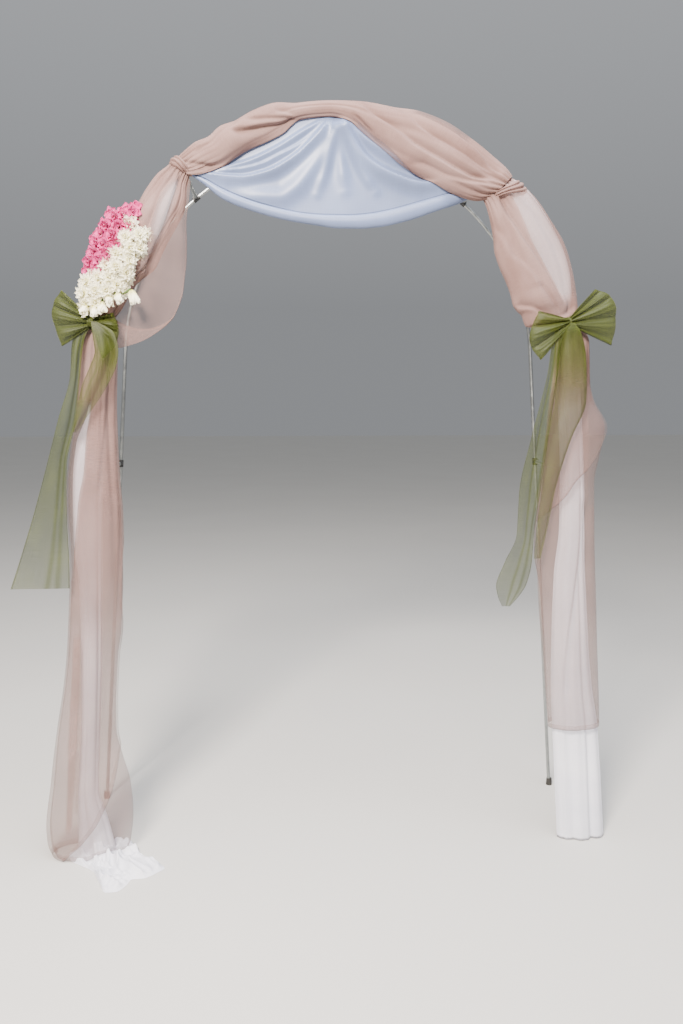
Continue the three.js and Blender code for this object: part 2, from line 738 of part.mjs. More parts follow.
addTail('right_bow_front_tail', [
  [693.5, 705, 1674, -264.2],
  [672, 700, 1640, -280],
  [662, 740, 1520, -272],
  [655, 745, 1440, -270],
  [636, 700, 1318, -268],
  [620, 656, 1155, -268],
  [612, 640, 1050, -268],
  [604, 624, 953, -268],
], [around.rightLeg, rightBow]);

// Silk flower spray on the left shoulder: lumps where the heads are, pink above, cream below
const HEAD_HALF = 30;

function spray(heads) {
  return joined(heads.map(([x, z, depth]) => {
    const head = new THREE.IcosahedronGeometry(HEAD_HALF, 1);
    head.translate(x, depth, z);
    return head;
  }));
}

const creamHeads = [
  [-578, 1938, -252], [-570, 1900, -256], [-600, 1865, -256], [-622, 1830, -254], [-655, 1790, -252],
  [-612, 1800, -258], [-640, 1755, -252], [-690, 1775, -244], [-728, 1765, -238], [-700, 1730, -246],
  [-735, 1725, -240], [-660, 1718, -252],
];
const pinkHeads = [
  [-592, 1965, -238], [-632, 1956, -230], [-668, 1942, -222], [-668, 1895, -232], [-700, 1902, -214],
  [-705, 1852, -222], [-662, 1850, -240], [-712, 1818, -226],
];
const creamSpray = spray(creamHeads).subtract(around.leftShoulder).subtract(leftBow);
addPiece('cream_flowers', toGeometry(creamSpray), materials.creamSilk);
const pinkSpray = spray(pinkHeads).subtract(around.leftShoulder).subtract(spray(creamHeads));
addPiece('pink_flowers', toGeometry(pinkSpray), materials.pinkSilk);

// The end of the left lining, spread on the ground in front of the foot
const trainOutline = [
  [-797, -236], [-760, -290], [-732, -335], [-705, -380], [-690, -425], [-652, -402], [-632, -362],
  [-585, -348], [-548, -312], [-556, -292], [-612, -244], [-650, -190], [-690, -160], [-760, -150],
];
const trainShape = new THREE.Shape(trainOutline.map(([x, y]) => new THREE.Vector2(x, y)));
addPiece(
  'left_lining_train',
  new THREE.ExtrudeGeometry(trainShape, { depth: TRAIN_THICKNESS, bevelEnabled: false }),
  materials.lining,
);

// The middle of the bottom becomes the origin
const box = new THREE.Box3().setFromObject(arch);
arch.position.set(-(box.min.x + box.max.x) / 2, -(box.min.y + box.max.y) / 2, -box.min.z);

export default arch;
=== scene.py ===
# %% [markdown]
# # A draped wedding arch
#
# The real thing is a light steel garden arch that someone dressed by hand: two hoops of thin
# tube, white lining cloth, dusty rose voile wound along the front hoop, a white satin swag under
# the crown, two olive organza bows and a spray of silk flowers.
# The steel frame is already built. This lesson loads it and makes everything soft around it.
# The soft pieces are grids of points that follow the hoop, because cloth that is gathered
# round a bar is easiest to describe by how far it reaches from the bar at each place.

# %% Load the frame
import math

import bpy
import numpy as np
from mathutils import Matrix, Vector


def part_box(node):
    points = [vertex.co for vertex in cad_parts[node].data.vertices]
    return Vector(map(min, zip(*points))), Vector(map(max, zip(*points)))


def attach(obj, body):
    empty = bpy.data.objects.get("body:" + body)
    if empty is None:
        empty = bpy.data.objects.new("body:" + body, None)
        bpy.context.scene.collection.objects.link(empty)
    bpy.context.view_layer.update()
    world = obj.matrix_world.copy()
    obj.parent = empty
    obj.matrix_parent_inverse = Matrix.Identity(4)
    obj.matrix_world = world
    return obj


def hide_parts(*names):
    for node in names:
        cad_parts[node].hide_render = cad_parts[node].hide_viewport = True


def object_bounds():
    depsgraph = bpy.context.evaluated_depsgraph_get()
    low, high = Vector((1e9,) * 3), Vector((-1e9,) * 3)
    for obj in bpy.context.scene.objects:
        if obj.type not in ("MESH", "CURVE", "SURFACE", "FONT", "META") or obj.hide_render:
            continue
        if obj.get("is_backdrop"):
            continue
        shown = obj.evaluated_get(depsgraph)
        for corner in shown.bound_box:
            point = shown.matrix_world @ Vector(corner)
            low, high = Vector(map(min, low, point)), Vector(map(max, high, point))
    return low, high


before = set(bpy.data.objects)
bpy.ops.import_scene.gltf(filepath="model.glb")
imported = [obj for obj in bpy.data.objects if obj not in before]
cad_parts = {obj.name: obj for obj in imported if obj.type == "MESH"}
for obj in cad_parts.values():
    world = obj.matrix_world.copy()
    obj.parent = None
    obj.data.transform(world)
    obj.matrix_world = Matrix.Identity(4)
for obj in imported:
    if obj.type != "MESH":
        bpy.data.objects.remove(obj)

cad_box = [list(corner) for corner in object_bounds()]
print("frame box", cad_box)

# %% [markdown]
# ## Where the arch stands
#
# Every measure below hangs on the hoop, so its sizes come first. The feet are read from the
# frame's rubber caps. The height where the legs meet the round part, and the half width there,
# are the two sizes that shape the rest of the hoop: the leg leans, and the arc starts as a
# tangent of the leg.

# %% The hoop's sizes
MM = 0.001


def middle_of(node):
    low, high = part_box(node)
    return (low + high) / 2


left_foot = middle_of("front_left_foot_cap")
right_foot = middle_of("front_right_foot_cap")
back_foot = middle_of("back_left_foot_cap")
CENTRE_X = (left_foot.x + right_foot.x) / 2
FRONT_Y = left_foot.y
BACK_Y = back_foot.y
HALF_FOOT = (right_foot.x - left_foot.x) / 2
HALF_SPRING = 700 * MM
SPRING_HEIGHT = 1620 * MM
LEAN = math.atan((HALF_FOOT - HALF_SPRING) / SPRING_HEIGHT)
ARC_RADIUS = HALF_SPRING / math.cos(LEAN)
ARC_CENTRE = SPRING_HEIGHT - ARC_RADIUS * math.sin(LEAN)
LEG_LENGTH = SPRING_HEIGHT / math.cos(LEAN)
HOOP_LENGTH = 2 * LEG_LENGTH + ARC_RADIUS * (math.pi - 2 * LEAN)
print(f"hoop {HOOP_LENGTH:.3f} m long, arc radius {ARC_RADIUS:.3f} m")
print(f"each leg leans {math.degrees(LEAN):.1f} degrees")

# %% [markdown]
# ## The camera
#
# The picture was taken from eye height, a little left of the middle, with the lens tipped down.
# The eye's place is in metres from the middle of the arch's footprint and the two angles are in
# degrees. The focal length was solved in pixels of the picture, and is turned into millimetres
# on a 36 mm sensor whose long side is upright.

# %% Camera
EYE = Vector((-0.1655, -2.8231, 1.4465))
LOOK_RIGHT = 3.834
LOOK_DOWN = 7.609
PICTURE_HEIGHT = 1024
FOCAL_PIXELS = 858
SENSOR = 36

lens = bpy.data.cameras.new("camera")
lens.sensor_width = SENSOR
lens.lens = SENSOR * FOCAL_PIXELS / PICTURE_HEIGHT
camera = bpy.data.objects.new("camera", lens)
bpy.context.scene.collection.objects.link(camera)
bpy.context.scene.camera = camera
camera.location = Vector((CENTRE_X, (FRONT_Y + BACK_Y) / 2, 0)) + EYE
camera.rotation_euler = (math.radians(90 - LOOK_DOWN), 0, -math.radians(LOOK_RIGHT))
print("camera at", [round(value, 3) for value in camera.location], f"lens {lens.lens:.1f} mm")

# %% [markdown]
# ## Places along the hoop
#
# A place on the hoop is one number: the distance walked from the left foot, up, over and down
# to the right foot. On the legs it is handier to give a height, and on the round part an angle
# above the line through the arc's centre, so two small functions turn those into distances.
# A third gives the point itself and the direction that points away from the opening.

# %% Hoop places
LEFT = -1
RIGHT = 1


def at_height(side, height):
    length = height / math.cos(LEAN)
    return length if side == LEFT else HOOP_LENGTH - length


def at_angle(side, degrees):
    length = LEG_LENGTH + ARC_RADIUS * (math.radians(degrees) - LEAN)
    return length if side == LEFT else HOOP_LENGTH - length


def hoop_frame(at):
    """Points of the front hoop at distances along it, and the outward direction at each."""
    at = np.asarray(at, float)
    side = np.where(at > HOOP_LENGTH / 2, RIGHT, LEFT)
    along = np.minimum(at, HOOP_LENGTH - at)
    on_arc = along > LEG_LENGTH
    angle = np.where(on_arc, LEAN + (along - LEG_LENGTH) / ARC_RADIUS, LEAN)
    facing = np.where(on_arc, angle, LEAN * along / LEG_LENGTH)
    x = np.where(on_arc, ARC_RADIUS * np.cos(angle), HALF_FOOT - along * math.sin(LEAN))
    z = np.where(on_arc, ARC_CENTRE + ARC_RADIUS * np.sin(angle), along * math.cos(LEAN))
    place = np.stack([CENTRE_X + side * x, np.full_like(x, FRONT_Y), z], -1)
    outward = np.stack([side * np.cos(facing), np.zeros_like(x), np.sin(facing)], -1)
    return place, outward


print("places at 50 degrees:", round(at_angle(LEFT, 50), 3), round(at_angle(RIGHT, 50), 3))

# %% [markdown]
# ## Smooth lines
#
# A drape is described by a few stations along the hoop. Between two stations its reach has to
# change smoothly, and it must not swing past either of them, or the cloth would bulge where the
# real one doesn't. So the lines are cubic, with slopes that fall to nought at each peak and dip.

# %% Smooth lines


def through(knots, values, at):
    """A smooth line through values at knots that never swings past them."""
    knots = np.asarray(knots, float)
    values = np.asarray(values, float)
    step = np.diff(knots)
    slope = np.diff(values) / step
    tangent = np.zeros_like(values)
    tangent[0] = slope[0]
    tangent[-1] = slope[-1]
    same = slope[:-1] * slope[1:] > 0
    near = 2 * step[1:] + step[:-1]
    far = step[1:] + 2 * step[:-1]
    divisor = near / np.where(same, slope[:-1], 1) + far / np.where(same, slope[1:], 1)
    tangent[1:-1] = np.where(same, (near + far) / divisor, 0)
    at = np.clip(np.asarray(at, float), knots[0], knots[-1])
    i = np.clip(np.searchsorted(knots, at, side="right") - 1, 0, len(step) - 1)
    t = (at - knots[i]) / step[i]
    start = values[i] * (1 + 2 * t) + tangent[i] * step[i] * t
    end = values[i + 1] * (3 - 2 * t) + tangent[i + 1] * step[i] * (t - 1)
    return start * (1 - t) ** 2 + end * t**2


def smooth(value, low, high):
    """Nought below low, one above high, and an easy step between them."""
    t = np.clip((value - low) / (high - low), 0, 1)
    return t * t * (3 - 2 * t)


print("halfway through nought, one and three:", float(through([0, 1, 2], [0, 1, 3], 1.5)))

# %% [markdown]
# ## Floor and light
#
# The arch is shown on a plain pale floor, rolled out matt with a faint mottle. The photo was
# taken in open shade, so the light is soft and comes from all over the sky. A little more comes
# from high in front, on the left, and brings out the folds.

# %% Colour and node helpers


def linear(code):
    """An sRGB hex colour as the linear red, green, blue and alpha that shaders use."""
    shares = [int(code[i : i + 2], 16) / 255 for i in (1, 3, 5)]
    return [*(s / 12.92 if s <= 0.04045 else ((s + 0.055) / 1.055) ** 2.4 for s in shares), 1.0]


def add_node(material, kind, settings=None, links=None):
    """Adds a node to a material, sets its sockets and options, and links its inputs."""
    made = material.node_tree.nodes.new(kind)
    for key, value in (settings or {}).items():
        if isinstance(key, int) or key in made.inputs:
            made.inputs[key].default_value = value
        else:
            setattr(made, key, value)
    for socket, source in (links or {}).items():
        material.node_tree.links.new(source, made.inputs[socket])
    return made


def new_material(name):
    material = bpy.data.materials.new(name)
    material.use_nodes = True
    material.node_tree.nodes.clear()
    return material


def show(material, shader):
    add_node(material, "ShaderNodeOutputMaterial", links={"Surface": shader.outputs[0]})
    return material


print("linear mid grey:", round(linear("#808080")[0], 3))

# %% [markdown]
# The floor is one large square. It belongs to the stage and not to the arch.

# %% Floor
FLOOR_HALF = 30
FLOOR_MOTTLE = 1000 * MM
# The texture's own coordinates run from nought to one over the whole floor
MOTTLE_SCALE = 2 * FLOOR_HALF / FLOOR_MOTTLE


def floor_paint():
    material = new_material("pale matt floor")
    mottle = add_node(material, "ShaderNodeTexNoise", {"Scale": MOTTLE_SCALE, "Detail": 3.0})
    tone = add_node(
        material, "ShaderNodeMix", {"data_type": "RGBA", 6: linear("#b4b2ad"), 7: linear("#bbb9b4")},
        {0: mottle.outputs["Fac"]},
    )
    body = add_node(
        material, "ShaderNodeBsdfPrincipled", {"Roughness": 0.9, "Specular IOR Level": 0.2},
        {"Base Color": tone.outputs[2]},
    )
    return show(material, body)


floor_mesh = bpy.data.meshes.new("floor")
corners = [(x * FLOOR_HALF, y * FLOOR_HALF, 0) for x, y in ((-1, -1), (1, -1), (1, 1), (-1, 1))]
floor_mesh.from_pydata(corners, [], [(0, 1, 2, 3)])
floor_mesh.materials.append(floor_paint())
floor = bpy.data.objects.new("floor", floor_mesh)
bpy.context.scene.collection.objects.link(floor)
floor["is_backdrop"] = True
print("floor", 2 * FLOOR_HALF, "m wide")

# %% [markdown]
# The sky is brighter overhead than near the ground. One softbox stands high in front, a larger
# and weaker one hangs overhead.

# %% Sky and lamps
SKY_LOW = 0.34
SKY_HIGH = 0.82
sky = bpy.data.worlds.new("soft sky")
sky.use_nodes = True
backdrop = sky.node_tree.nodes["Background"]
backdrop.inputs["Color"].default_value = linear("#e6e9ee")
direction = add_node(sky, "ShaderNodeTexCoord")
upward = add_node(sky, "ShaderNodeSeparateXYZ", links={0: direction.outputs["Generated"]})
strength = add_node(
    sky, "ShaderNodeMapRange", {"From Min": 0.1, "From Max": 0.9, "To Min": SKY_LOW, "To Max": SKY_HIGH},
    {"Value": upward.outputs["Z"]},
)
sky.node_tree.links.new(strength.outputs["Result"], backdrop.inputs["Strength"])
bpy.context.scene.world = sky


def soft_light(name, place, target, size, power, colour):
    lamp = bpy.data.lights.new(name, "AREA")
    lamp.size = size
    lamp.energy = power
    lamp.color = linear(colour)[:3]
    holder = bpy.data.objects.new(name, lamp)
    bpy.context.scene.collection.objects.link(holder)
    holder.location = place
    holder.rotation_euler = (Vector(target) - Vector(place)).to_track_quat("-Z", "Y").to_euler()


soft_light(
    "front softbox", place=(-1.3, -3.6, 4.0), target=(0, 0, 1.2), size=1.2, power=1130, colour="#fff4ea"
)
soft_light(
    "overhead softbox", place=(0.6, -0.9, 5.2), target=(0, 0, 1.0), size=2.4, power=460, colour="#f2f5ff"
)
print("sky and two softboxes set")

# %% [markdown]
# ## Finishes of the frame
#
# The tubes are zinc-plated steel: bright when new, then dulled by handling into fine cloudy
# patches. Plating is a metal, so it keeps the default IOR and gets its look from roughness.
# The fittings are moulded black plastic, with the faint grain of the mould, and the feet are
# black rubber, which is rougher and a little dusty near the ground.

# %% Zinc-plated steel, moulded plastic and rubber
PLATING_CLOUD = 18 * MM
MOULD_GRAIN = 0.8 * MM
DUST_PATCH = 11.111 * MM


def zinc_plated_steel():
    material = new_material("zinc-plated steel tube")
    place = add_node(material, "ShaderNodeTexCoord")
    cloud = add_node(
        material, "ShaderNodeTexNoise", {"Scale": 1 / PLATING_CLOUD, "Detail": 4.0},
        {"Vector": place.outputs["Object"]},
    )
    tone = add_node(
        material, "ShaderNodeMix", {"data_type": "RGBA", 6: linear("#8d9191"), 7: linear("#b4b8b6")},
        {0: cloud.outputs["Fac"]},
    )
    dull = add_node(
        material, "ShaderNodeMapRange", {"To Min": 0.24, "To Max": 0.46}, {"Value": cloud.outputs["Fac"]}
    )
    body = add_node(
        material, "ShaderNodeBsdfPrincipled", {"Metallic": 1.0},
        {"Base Color": tone.outputs[2], "Roughness": dull.outputs["Result"]},
    )
    return show(material, body)


def moulded_black(name, dark, worn, roughness, grain_height):
    material = new_material(name)
    place = add_node(material, "ShaderNodeTexCoord")
    grain = add_node(
        material, "ShaderNodeTexNoise", {"Scale": 1 / MOULD_GRAIN, "Detail": 2.0},
        {"Vector": place.outputs["Object"]},
    )
    dust = add_node(
        material, "ShaderNodeTexNoise", {"Scale": 1 / DUST_PATCH, "Detail": 4.0},
        {"Vector": place.outputs["Object"]},
    )
    tone = add_node(
        material, "ShaderNodeMix", {"data_type": "RGBA", 6: linear(dark), 7: linear(worn)},
        {0: dust.outputs["Fac"]},
    )
    relief = add_node(
        material, "ShaderNodeBump", {"Strength": 0.5, "Distance": grain_height},
        {"Height": grain.outputs["Fac"]},
    )
    body = add_node(
        material, "ShaderNodeBsdfPrincipled", {"Roughness": roughness, "IOR": 1.5},
        {"Base Color": tone.outputs[2], "Normal": relief.outputs["Normal"]},
    )
    return show(material, body)


print(f"clouds on the plating {PLATING_CLOUD / MM:.0f} mm wide, grain of the mould {MOULD_GRAIN / MM} mm")

# %% [markdown]
# Each part of the frame is named for what it is, and the last word of its name picks the finish.

# %% Finishes put on the frame
plated_steel = zinc_plated_steel()
frame_finishes = {
    "tube": plated_steel,
    "rung": plated_steel,
    "coupler": moulded_black("moulded black plastic", "#131313", "#242424", 0.45, 0.05 * MM),
    "cap": moulded_black("black rubber", "#1b1b1a", "#35332f", 0.8, 0.1 * MM),
}
finished = 0
for name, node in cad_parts.items():
    kind = name.rsplit("_", 1)[-1]
    if kind in frame_finishes:
        finished += 1
        for slot in node.material_slots:
            slot.material = frame_finishes[kind]
print("frame finishes on", finished, "nodes")

# %% [markdown]
# ## Finishes of the cloth
#
# Voile, organza, satin and lining are woven, so each pattern follows the cloth's own two
# directions. Every cloth grid carries an attribute with its place on the flat cloth in metres,
# across and along, and the materials read that, so threads stay straight in the cloth however
# it is folded. Real threads are a third of a millimetre apart and would vanish in the picture,
# so the weave is drawn coarser, and the slubs, the thicker stretches of thread, do most of the
# work: they are what the eye reads as woven.

# %% Threads, dye and weave
THREAD_SPACING = 1.2 * MM
SLUB_WIDTH = 1.3 * MM
SLUB_LENGTH = 70 * MM
DYE_CLOUD = 160 * MM
# A wave texture of scale one repeats every pi / 10 metres
WAVE_SCALE = math.pi / 10 / THREAD_SPACING


def slubs(material, cloth, across, along):
    """Uneven threads: noise stretched along one direction of the cloth."""
    spread = add_node(
        material, "ShaderNodeVectorMath", {"operation": "MULTIPLY", 1: (1 / across, 1 / along, 1)},
        {0: cloth.outputs["Vector"]},
    )
    return add_node(
        material, "ShaderNodeTexNoise",
        {"noise_dimensions": "2D", "Scale": 1.0, "Detail": 3.0, "Roughness": 0.6},
        {"Vector": spread.outputs[0]},
    )


def thread_thickness(material, cloth):
    """Nought where both threads are thin and one where both are thick."""
    warp = slubs(material, cloth, SLUB_WIDTH, SLUB_LENGTH)
    weft = slubs(material, cloth, SLUB_LENGTH, SLUB_WIDTH)
    slub = add_node(
        material, "ShaderNodeMath", {"operation": "ADD"}, {0: warp.outputs["Fac"], 1: weft.outputs["Fac"]}
    )
    return add_node(
        material, "ShaderNodeMapRange", {"From Min": 0.6, "From Max": 1.4}, {"Value": slub.outputs[0]}
    )


def uneven_dye(material, cloth, thick, deep, light):
    """Dye lies deeper in some clouds and lighter on thick threads."""
    cloud = add_node(
        material, "ShaderNodeTexNoise", {"Scale": 1 / DYE_CLOUD, "Detail": 2.0},
        {"Vector": cloth.outputs["Vector"]},
    )
    blend = add_node(
        material, "ShaderNodeMath", {"operation": "MULTIPLY_ADD", 1: 0.3},
        {0: thick.outputs["Result"], 2: cloud.outputs["Fac"]},
    )
    shade = add_node(
        material, "ShaderNodeMapRange", {"From Min": 0.4, "From Max": 0.9}, {"Value": blend.outputs[0]}
    )
    return add_node(
        material, "ShaderNodeMix", {"data_type": "RGBA", 6: linear(deep), 7: linear(light)},
        {0: shade.outputs["Result"]},
    )


def weave_relief(material, cloth, thick, weave_height):
    """Small bumps where warp and weft cross, higher where the threads are thick."""
    threads = [
        add_node(
            material, "ShaderNodeTexWave",
            {"wave_type": "BANDS", "bands_direction": direction, "Scale": WAVE_SCALE},
            {"Vector": cloth.outputs["Vector"]},
        )
        for direction in ("X", "Y")
    ]
    cells = add_node(
        material, "ShaderNodeMath", {"operation": "MULTIPLY"},
        {0: threads[0].outputs["Fac"], 1: threads[1].outputs["Fac"]},
    )
    height = add_node(
        material, "ShaderNodeMath", {"operation": "MULTIPLY_ADD", 1: 0.4},
        {0: cells.outputs[0], 2: thick.outputs["Result"]},
    )
    return add_node(
        material, "ShaderNodeBump", {"Strength": 0.6, "Distance": weave_height}, {"Height": height.outputs[0]}
    )


print(f"threads drawn {THREAD_SPACING / MM} mm apart, slubs {SLUB_LENGTH / MM} mm long")

# %% [markdown]
# A sheer cloth hides only part of what is behind it. That share is its cover, and it rises
# where a slub is thick. Where cloth is bunched several layers cling together, so each grid
# also carries how many real layers lie at a point, and they hide more between them. Light
# also soaks through, which a translucent shader gives.

# %% Woven cloth


def sheer(material, lit, thick, cover):
    """Mixes in what is behind: each layer lets a share of it through."""
    open_weave = add_node(material, "ShaderNodeBsdfTransparent")
    one_layer = add_node(
        material, "ShaderNodeMapRange", {"To Min": 1 - cover[0], "To Max": 1 - cover[1]},
        {"Value": thick.outputs["Result"]},
    )
    layers = add_node(material, "ShaderNodeAttribute", {"attribute_name": "layers"})
    seen_through = add_node(
        material, "ShaderNodeMath", {"operation": "POWER"},
        {0: one_layer.outputs["Result"], 1: layers.outputs["Fac"]},
    )
    return add_node(
        material, "ShaderNodeMixShader",
        links={0: seen_through.outputs[0], 1: lit.outputs[0], 2: open_weave.outputs[0]},
    )


def woven(name, deep, light, *, cover=None, glow, roughness, sheen, sheen_tint, weave_height, specular=0.25):
    """A woven cloth. cover is the share that a sheer one hides, from thin to thick threads, and
    glow the share of the light that soaks through."""
    material = new_material(name)
    cloth = add_node(material, "ShaderNodeAttribute", {"attribute_name": "cloth"})
    thick = thread_thickness(material, cloth)
    dye = uneven_dye(material, cloth, thick, deep, light)
    relief = weave_relief(material, cloth, thick, weave_height)
    body = add_node(
        material, "ShaderNodeBsdfPrincipled",
        {
            "Roughness": roughness, "IOR": 1.5, "Specular IOR Level": specular,
            "Sheen Weight": sheen, "Sheen Roughness": 0.4, "Sheen Tint": linear(sheen_tint),
        },
        {"Base Color": dye.outputs[2], "Normal": relief.outputs["Normal"]},
    )
    soak = add_node(
        material, "ShaderNodeBsdfTranslucent",
        links={"Color": dye.outputs[2], "Normal": relief.outputs["Normal"]},
    )
    lit = add_node(
        material, "ShaderNodeMixShader", {0: glow}, {1: body.outputs[0], 2: soak.outputs[0]}
    )
    return show(material, sheer(material, lit, thick, cover) if cover else lit)


print("two layers that hide 0.4 each hide", round(1 - (1 - 0.4) ** 2, 2), "together")

# %% [markdown]
# Voile is a soft, sheer weave of fine spun thread: matt, with a faint bloom of loose fibres.
# Lining cloth is bleached and woven close, so it is matt and hides all. Satin floats its
# threads over one another, which makes a smooth face that catches the light in broad bands. It
# is white, but its colour is painted shade: the cool grey that white shows in shade under a
# blue sky. Organza is woven openly from hard twisted thread: crisp, sheer and a little shiny.

# %% The four cloths
rose_voile = woven(
    "dusty rose voile", "#84675f", "#9c8079", cover=(0.36, 0.46), glow=0.35, roughness=0.8,
    sheen=0.15, sheen_tint="#f2e4e0", weave_height=0.08 * MM,
)
white_lining = woven(
    "white lining cloth", "#e3e4ee", "#f4f4fa", glow=0.3, roughness=0.8,
    sheen=0.3, sheen_tint="#ffffff", weave_height=0.2 * MM,
)
# The satin's two tones are painted shade: white cloth drawn as the cool grey it shows in the shade of a blue
# sky
white_satin = woven(
    "white satin", "#5c6987", "#6d7b9c", glow=0.12, roughness=0.42,
    sheen=0.1, sheen_tint="#ffffff", weave_height=0.05 * MM, specular=0.55,
)
olive_organza = woven(
    "olive organza", "#2b330e", "#525a1e", cover=(0.4, 0.56), glow=0.35, roughness=0.5,
    sheen=0.3, sheen_tint="#c9cc84", weave_height=0.08 * MM,
)
print("cloth finishes:", ", ".join(m.name for m in (rose_voile, white_lining, white_satin, olive_organza)))

# %% [markdown]
# ## Turning grids into pieces
#
# A cloth is a grid of points, rows along it and columns across. With it goes a second grid that
# says where each point lies on the flat cloth and how many layers lie there. A hem is sewn by
# folding a narrow strip back along an edge, so that free edges look doubled. The strip lies so
# close to the sheet that it hides less than a loose layer would.

# %% Grids and hems
HEM_COVER = 0.7


def laid(across, along, layers=1.0):
    """Where points lie on the flat cloth, and how many real layers lie there."""
    return np.stack(np.broadcast_arrays(across, along, layers), -1).astype(float)


def unit(vectors):
    return vectors / np.maximum(np.linalg.norm(vectors, axis=-1, keepdims=True), 1e-9)


def normals_of(grid):
    return unit(np.cross(np.gradient(grid, axis=0), np.gradient(grid, axis=1)))


def turned_hem(sheet, edge, steps, gap=1.2 * MM):
    """Folds a strip of a few steps back along one edge: first or last column, or row."""
    grid, cloth = sheet
    last = edge.startswith("last")
    by_row = edge.endswith("row")
    parts = [np.swapaxes(part, 0, 1) if by_row else part for part in (grid, cloth, normals_of(grid))]
    points, flat, facing = [part if last else part[:, ::-1] for part in parts]
    back = slice(-2, -2 - steps, -1)
    points = np.concatenate([points, points[:, back] + facing[:, back] * gap], 1)
    flat = np.concatenate([flat, flat[:, back] * (1, 1, HEM_COVER)], 1)
    parts = [part if last else part[:, ::-1] for part in (points, flat)]
    return tuple(np.swapaxes(part, 0, 1) if by_row else part for part in parts)


print("a hem hides", HEM_COVER, "of what a loose layer hides")

# %% [markdown]
# One function turns a list of grids into a mesh with smooth faces and the two attributes that
# the finishes read. Another makes that mesh a piece of the arch: it rides on the arch's one
# body and takes the place of the plain solids that stood for it.

# %% Meshes and pieces


def build_mesh(name, sheets, materials, slots_of=None):
    """A mesh from grids. slots_of gives the material number of each grid."""
    points = []
    flats = []
    faces = []
    numbers = []
    first = 0
    for k, (grid, cloth) in enumerate(sheets):
        rows, columns = grid.shape[:2]
        index = first + np.arange(rows * columns).reshape(rows, columns)
        quads = np.stack([index[:-1, :-1], index[:-1, 1:], index[1:, 1:], index[1:, :-1]], -1)
        faces.append(quads.reshape(-1, 4))
        numbers.append(np.full((rows - 1) * (columns - 1), slots_of[k] if slots_of else 0))
        points.append(grid.reshape(-1, 3))
        flats.append(cloth.reshape(-1, 3))
        first += rows * columns
    points, flats, faces = (np.concatenate(part) for part in (points, flats, faces))
    mesh = bpy.data.meshes.new(name)
    mesh.vertices.add(len(points))
    mesh.vertices.foreach_set("co", points.astype(np.float32).ravel())
    mesh.loops.add(faces.size)
    mesh.loops.foreach_set("vertex_index", faces.astype(np.int32).ravel())
    mesh.polygons.add(len(faces))
    mesh.polygons.foreach_set("loop_start", np.arange(0, faces.size, 4, dtype=np.int32))
    for material in materials:
        mesh.materials.append(material)
    mesh.polygons.foreach_set("material_index", np.concatenate(numbers).astype(np.int32))
    mesh.polygons.foreach_set("use_smooth", np.ones(len(faces), bool))
    flat = mesh.attributes.new("cloth", "FLOAT_VECTOR", "POINT")
    flat.data.foreach_set("vector", (flats * (1, 1, 0)).astype(np.float32).ravel())
    layers = mesh.attributes.new("layers", "FLOAT", "POINT")
    layers.data.foreach_set("value", flats[:, 2].astype(np.float32))
    mesh.update(calc_edges=True)
    mesh.validate()
    return mesh


def dress(name, sheets, material, nodes, extra=(), slots_of=None):
    """Makes a piece, puts it on the arch and hides the plain solids that it stands for."""
    mesh = build_mesh(name, sheets, [material, *extra], slots_of)
    piece = bpy.data.objects.new(name, mesh)
    bpy.context.scene.collection.objects.link(piece)
    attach(piece, "root")
    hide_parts(*nodes)
    area = sum(face.area for face in mesh.polygons)
    print(f"{name}: {len(mesh.polygons)} faces, {area:.3f} square metres of cloth")
    return piece


print("frame nodes that cloth can stand for:", len(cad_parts))

# %% [markdown]
# ## How gathered cloth is shaped
#
# Cloth gathered round a bar rolls up like a loose scroll. Its section is an oval that reaches
# a certain way outward, inward, to the front and to the back, and the reach changes along the
# bar: tight where it is tied, full between the ties. The scroll makes one to two turns, each
# outer turn a little larger, so the layers lie over each other.
#
# On top of the oval come three kinds of fold. Soft folds run along the bundle, wander a little
# and die out. Tight pleats spread from each tie. Both are waves round the bundle that lean over
# to one side. The crests stay on the oval, so the folds never change the drape's size.

# %% Soft folds and pleats


def fold_depth(turn, at, count, seed, lean=0.55, sharp=1.5, drift=1.0):
    """Nought on a crest and one in a valley. turn is the angle round the bundle."""
    draw = np.random.default_rng(seed)
    phase = count * turn
    for order in (1, 2, 3):
        size = draw.uniform(0.5, 1.1)
        start = draw.uniform(0, 2 * np.pi)
        rate = draw.uniform(-4, 4)
        phase = phase + drift * size * np.sin(order * turn + start + rate * at)
    phase = phase + lean * np.sin(phase)
    start = draw.uniform(0, 2 * np.pi)
    rate = draw.uniform(2, 5)
    strength = 0.68 + 0.32 * np.sin(2 * turn + start + rate * at)
    return strength * ((1 + np.cos(phase)) / 2) ** sharp


round_once = np.linspace(0, 2 * math.pi, 200)
print("the deepest of nine folds is", round(float(fold_depth(round_once, 0, 9, 1).max()), 2), "of full depth")

# %% [markdown]
# The third kind is the crease, one of the few sharp steps where a fold laps over the next. It is
# a line along the bundle with a drop on one side that eases out again. Few of them run across
# the bundle, where the cloth folds over on itself.

# %% Creases and edges
DROP_SOFTNESS = 2.2 * MM
CREASE_FADE = 45 * MM


def crease_depth(aside, at, facing, fold):
    """A sharp drop on one side of a line that eases out over its width."""
    walk, beside = (aside, at) if fold["across"] else (at, aside)
    starts, aims = zip(*fold["line"])
    past = (beside - through(starts, aims, walk)) * fold["side"]
    fade = fold["fade"]
    along = smooth(walk, starts[0] - fade / 2, starts[0] + fade)
    along = along * (1 - smooth(walk, starts[-1] - fade, starts[-1] + fade / 2))
    drop = 1 / (1 + np.exp(-past / DROP_SOFTNESS))
    ease = np.exp(-np.maximum(past, 0) / (fold["width"] * MM))
    return fold["depth"] * MM * along * drop * ease * facing


def edge_angle(offset, half, middle):
    """The angle on the front of the oval that lies a given way out. Past either end of the
    oval it goes on round towards the back."""
    share = (offset - middle) / half
    past = np.maximum(share - 1, 0) - np.maximum(-1 - share, 0)
    return 2 * math.pi - np.arccos(np.clip(share, -1, 1)) + past


